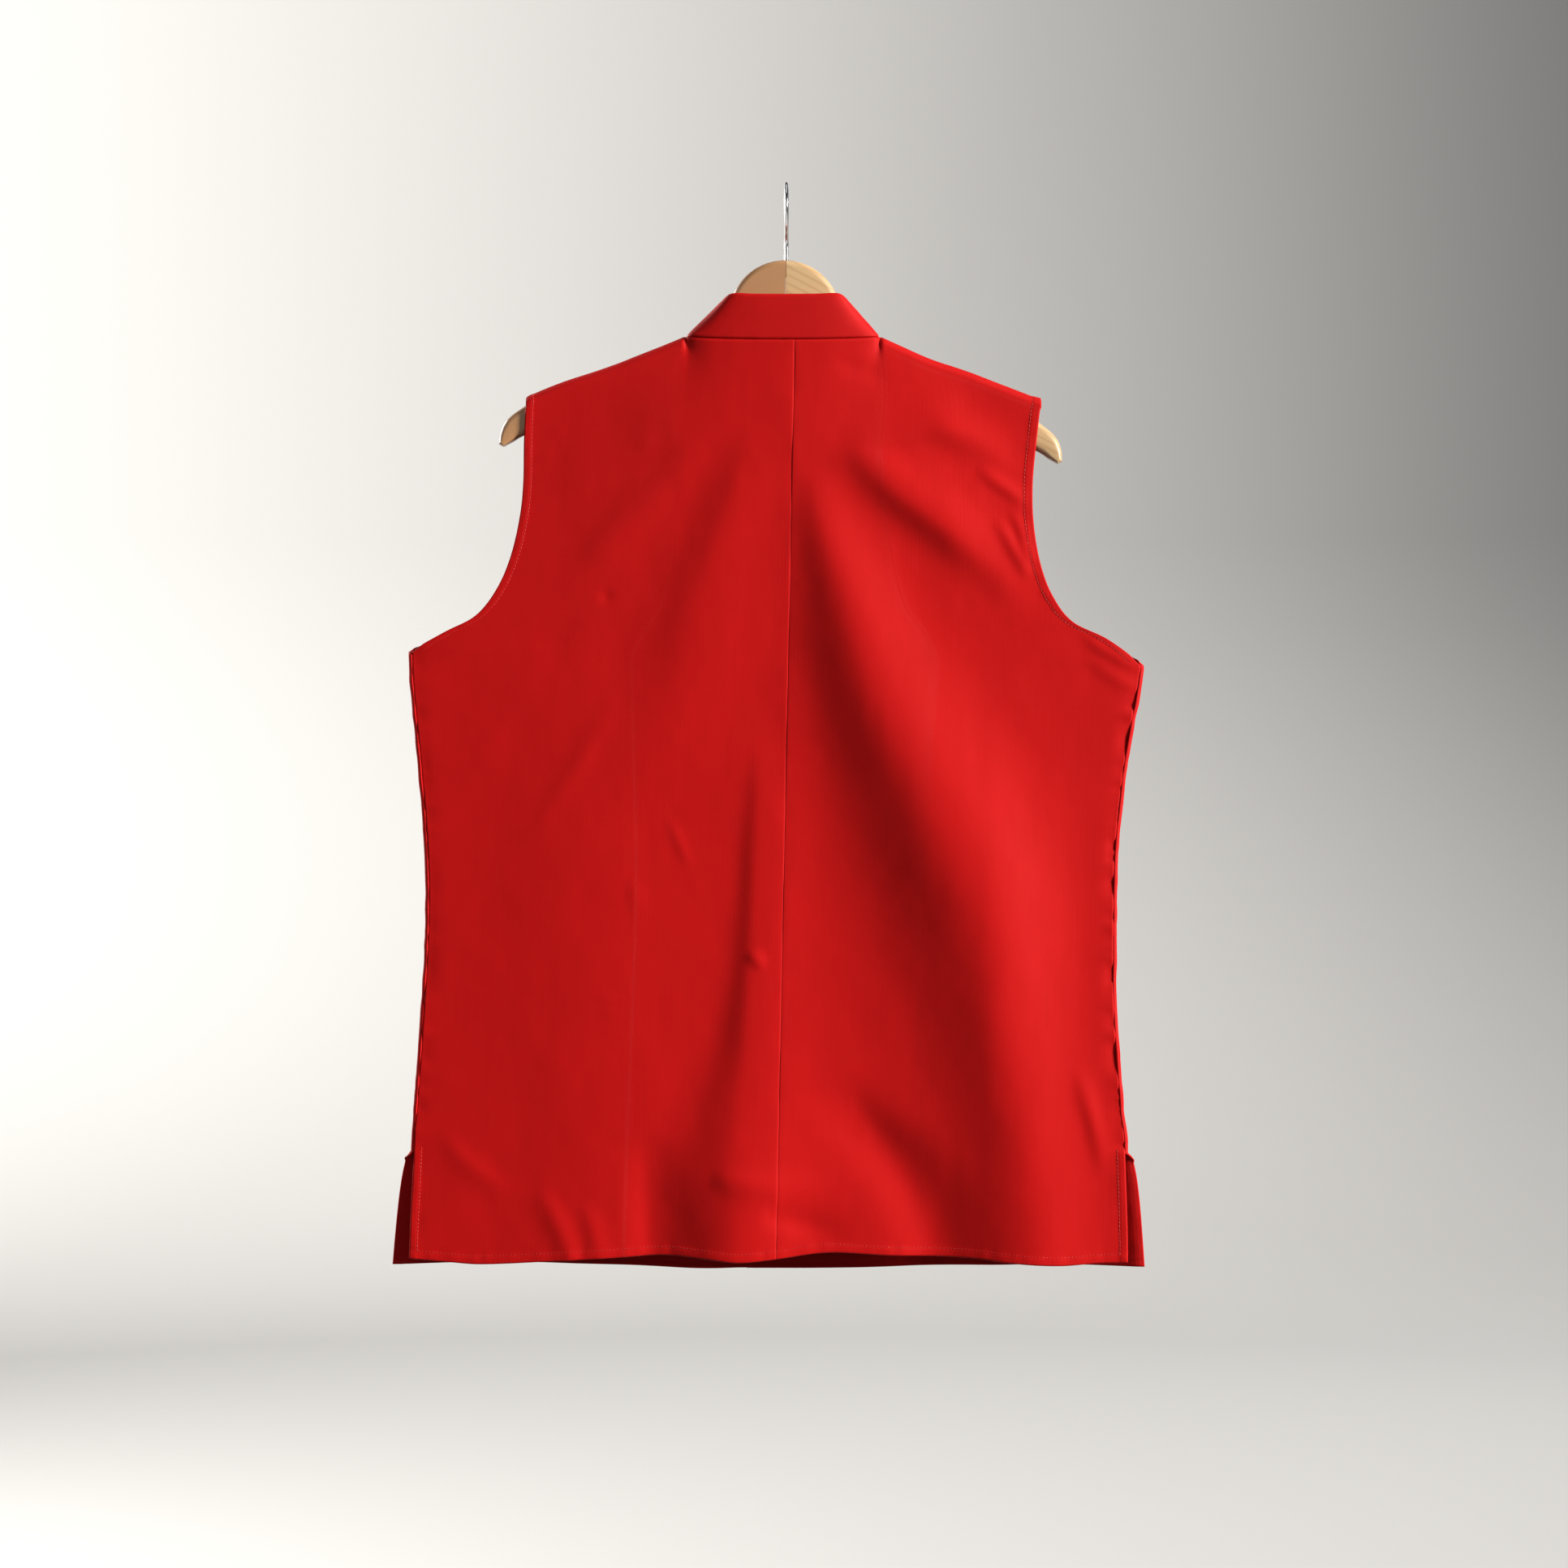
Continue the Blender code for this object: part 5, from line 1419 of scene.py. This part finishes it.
def dye_thread(shader, wire):
    place = wire.node("ShaderNodeTexCoord", output="Object")
    cloud = wire.node("ShaderNodeTexNoise", {"Vector": place, "Scale": 260.0, "Detail": 1.0})
    twist_and_shade = wire.node("ShaderNodeTexWave", {"Vector": place, "Scale": 900.0, "Distortion": 0.6},
                      bands_direction="DIAGONAL", output="Fac")
    # The twist's painted light and shade go into the colour here.
    feed(shader, "Base Color", (cloud * 0.6 + twist_and_shade * 0.4).blend(THREAD, THREAD_PALE))
    feed(shader, "Roughness", 0.42 + 0.2 * twist_and_shade)


dye_thread(thread_shader, thread_wire)

# %% [markdown]
# The hook is chrome on drawn steel wire. Chrome is a plain mirror, so what makes it look real is in the
# roughness: long faint scratches left by rods, and a haze where fingers have held it.

# %% Chrome
def polish_chrome(shader, wire):
    place = wire.node("ShaderNodeTexCoord", output="Object")
    haze = wire.node("ShaderNodeTexNoise", {"Vector": place, "Scale": 70.0, "Detail": 3.0})
    stretched = wire.node("ShaderNodeMapping", {"Vector": place, "Scale": (2600.0, 300.0, 120.0)})
    scratch = wire.node("ShaderNodeTexNoise", {"Vector": stretched, "Scale": 1.0, "Detail": 2.0})
    feed(shader, "Base Color", haze.blend((0.66, 0.66, 0.68, 1.0), (0.78, 0.78, 0.78, 1.0)))
    feed(shader, "Roughness", 0.05 + 0.1 * haze + 0.08 * scratch)
    shader.inputs["Metallic"].default_value = 1.0


polish_chrome(chrome_shader, chrome_wire)

# %% [markdown]
# The hanger is two boards of a pale wood with different grain, under a clear lacquer. The wearer's left
# half is painted a darker, warmer tan with faint orange streaks. Its darkness is painted shade, as that
# half faces away from the main light. The right half is painted lighter and yellower as painted light,
# with darker lines that run down along the arm. Both come from one pattern that follows the arm,
# because the coordinate across the joint is folded over with an absolute value. The lacquer is the
# shader's coat.

# %% Wood
ARM_SLOPE = math.radians(27.0)
# The left half's colours are darkened as painted shade, and the right half's are lightened as painted light.
SHADED_TAN, SHADED_ORANGE = (0.46, 0.235, 0.105, 1.0), (0.56, 0.27, 0.10, 1.0)
LIT_STRAW, LIT_GRAIN_BROWN = (0.66, 0.44, 0.22, 1.0), (0.46, 0.26, 0.11, 1.0)
GRAIN_SPACING = 5.5


def lacquered_wood():
    material, shader, wire = new_material("pale_wood")
    place = wire.node("ShaderNodeTexCoord", output="Object")
    split = wire.node("ShaderNodeSeparateXYZ", {"Vector": place})
    x, y, z = (Wire(wire.tree, split.socket.node.outputs[name]) for name in "XYZ")
    out = wire.math("ABSOLUTE", x)
    along = out * math.cos(ARM_SLOPE) - z * math.sin(ARM_SLOPE)
    over = out * math.sin(ARM_SLOPE) + z * math.cos(ARM_SLOPE)
    is_left = wire.math("GREATER_THAN", x, 0.0)
    stretched = wire.node("ShaderNodeCombineXYZ", {"X": along * 10.0 + 3.7 * is_left, "Y": y * 70.0, "Z": over * 160.0})
    streaks = wire.node("ShaderNodeTexNoise", {"Vector": stretched, "Scale": 1.0, "Detail": 4.0})
    fine = wire.node("ShaderNodeCombineXYZ", {"X": along * 60.0, "Y": y * 900.0, "Z": over * 1400.0})
    pores = wire.node("ShaderNodeTexNoise", {"Vector": fine, "Scale": 1.0, "Detail": 2.0})
    ring = wire.math("SINE", over * (2000.0 * math.pi / GRAIN_SPACING) + streaks * 9.0)
    line = wire.math("POWER", 0.5 + 0.5 * ring, 3.0)
    # Painted shade on the left half and painted light on the right half, over each half's own grain.
    left = (streaks * 0.8 + pores * 0.3).blend(SHADED_TAN, SHADED_ORANGE)
    right = (line * 0.45 + pores * 0.35).blend(LIT_STRAW, LIT_GRAIN_BROWN)
    feed(shader, "Base Color", is_left.blend(right, left))
    feed(shader, "Roughness", 0.38 + 0.2 * pores)
    bump = wire.node("ShaderNodeBump", {"Height": pores * 0.6 + line * 0.4, "Strength": 0.25, "Distance": 0.0002})
    feed(shader, "Normal", bump)
    shader.inputs["Coat Weight"].default_value = 0.6
    shader.inputs["Coat Roughness"].default_value = 0.12
    return material


wood = lacquered_wood()

# %% [markdown]
# The buttons are cast resin of a deeper red than the cloth. Resin is never one flat colour: a slow
# noise, bent by another, gives it the faint clouds that are stirred in before it sets. Wear shows as a
# slightly duller bloom on the polish.

# %% Button resin
RESIN_DARK, RESIN_LIGHT = (0.20, 0.005, 0.007, 1.0), (0.40, 0.016, 0.018, 1.0)


def cast_resin():
    material, shader, wire = new_material("red_button")
    place = wire.node("ShaderNodeTexCoord", output="Object")
    cloud = wire.node("ShaderNodeTexNoise", {"Vector": place, "Scale": 170.0, "Detail": 3.0, "Distortion": 1.6})
    bloom = wire.node("ShaderNodeTexNoise", {"Vector": place, "Scale": 600.0, "Detail": 2.0})
    feed(shader, "Base Color", cloud.blend(RESIN_DARK, RESIN_LIGHT))
    feed(shader, "Roughness", 0.2 + 0.18 * bloom)
    shader.inputs["Coat Weight"].default_value = 0.3
    shader.inputs["Coat Roughness"].default_value = 0.08
    return material


button_material = cast_resin()

# %% Finish
for piece in pieces:
    if piece.name.endswith("_cloth"):
        piece.data.materials.append(red_satin)
    elif piece.name.startswith("hanger_half"):
        piece.data.materials.append(wood)
    elif piece.name.endswith(("_stitches", "_thread", "_cord")):
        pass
    elif piece.name.startswith("button"):
        piece.data.materials.clear()
        piece.data.materials.append(button_material)
    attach(piece, "root")
by_name = {piece.name: piece for piece in pieces}
for side in ("left", "right"):
    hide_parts("back_" + side)
    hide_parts("front_" + side)
    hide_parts("hanger_arm_" + side)
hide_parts("collar")
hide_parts("hanger_hook")
for index in range(1, BUTTON_COUNT + 1):
    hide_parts(f"button_{index}")
for name, flat in (("back_left", (0.30, 0.735)), ("back_right", (0.29, 0.735)),
                   ("front_left", (0.33, 0.68)), ("front_right", (0.33, 0.68))):
    by_name[name + "_cloth"]
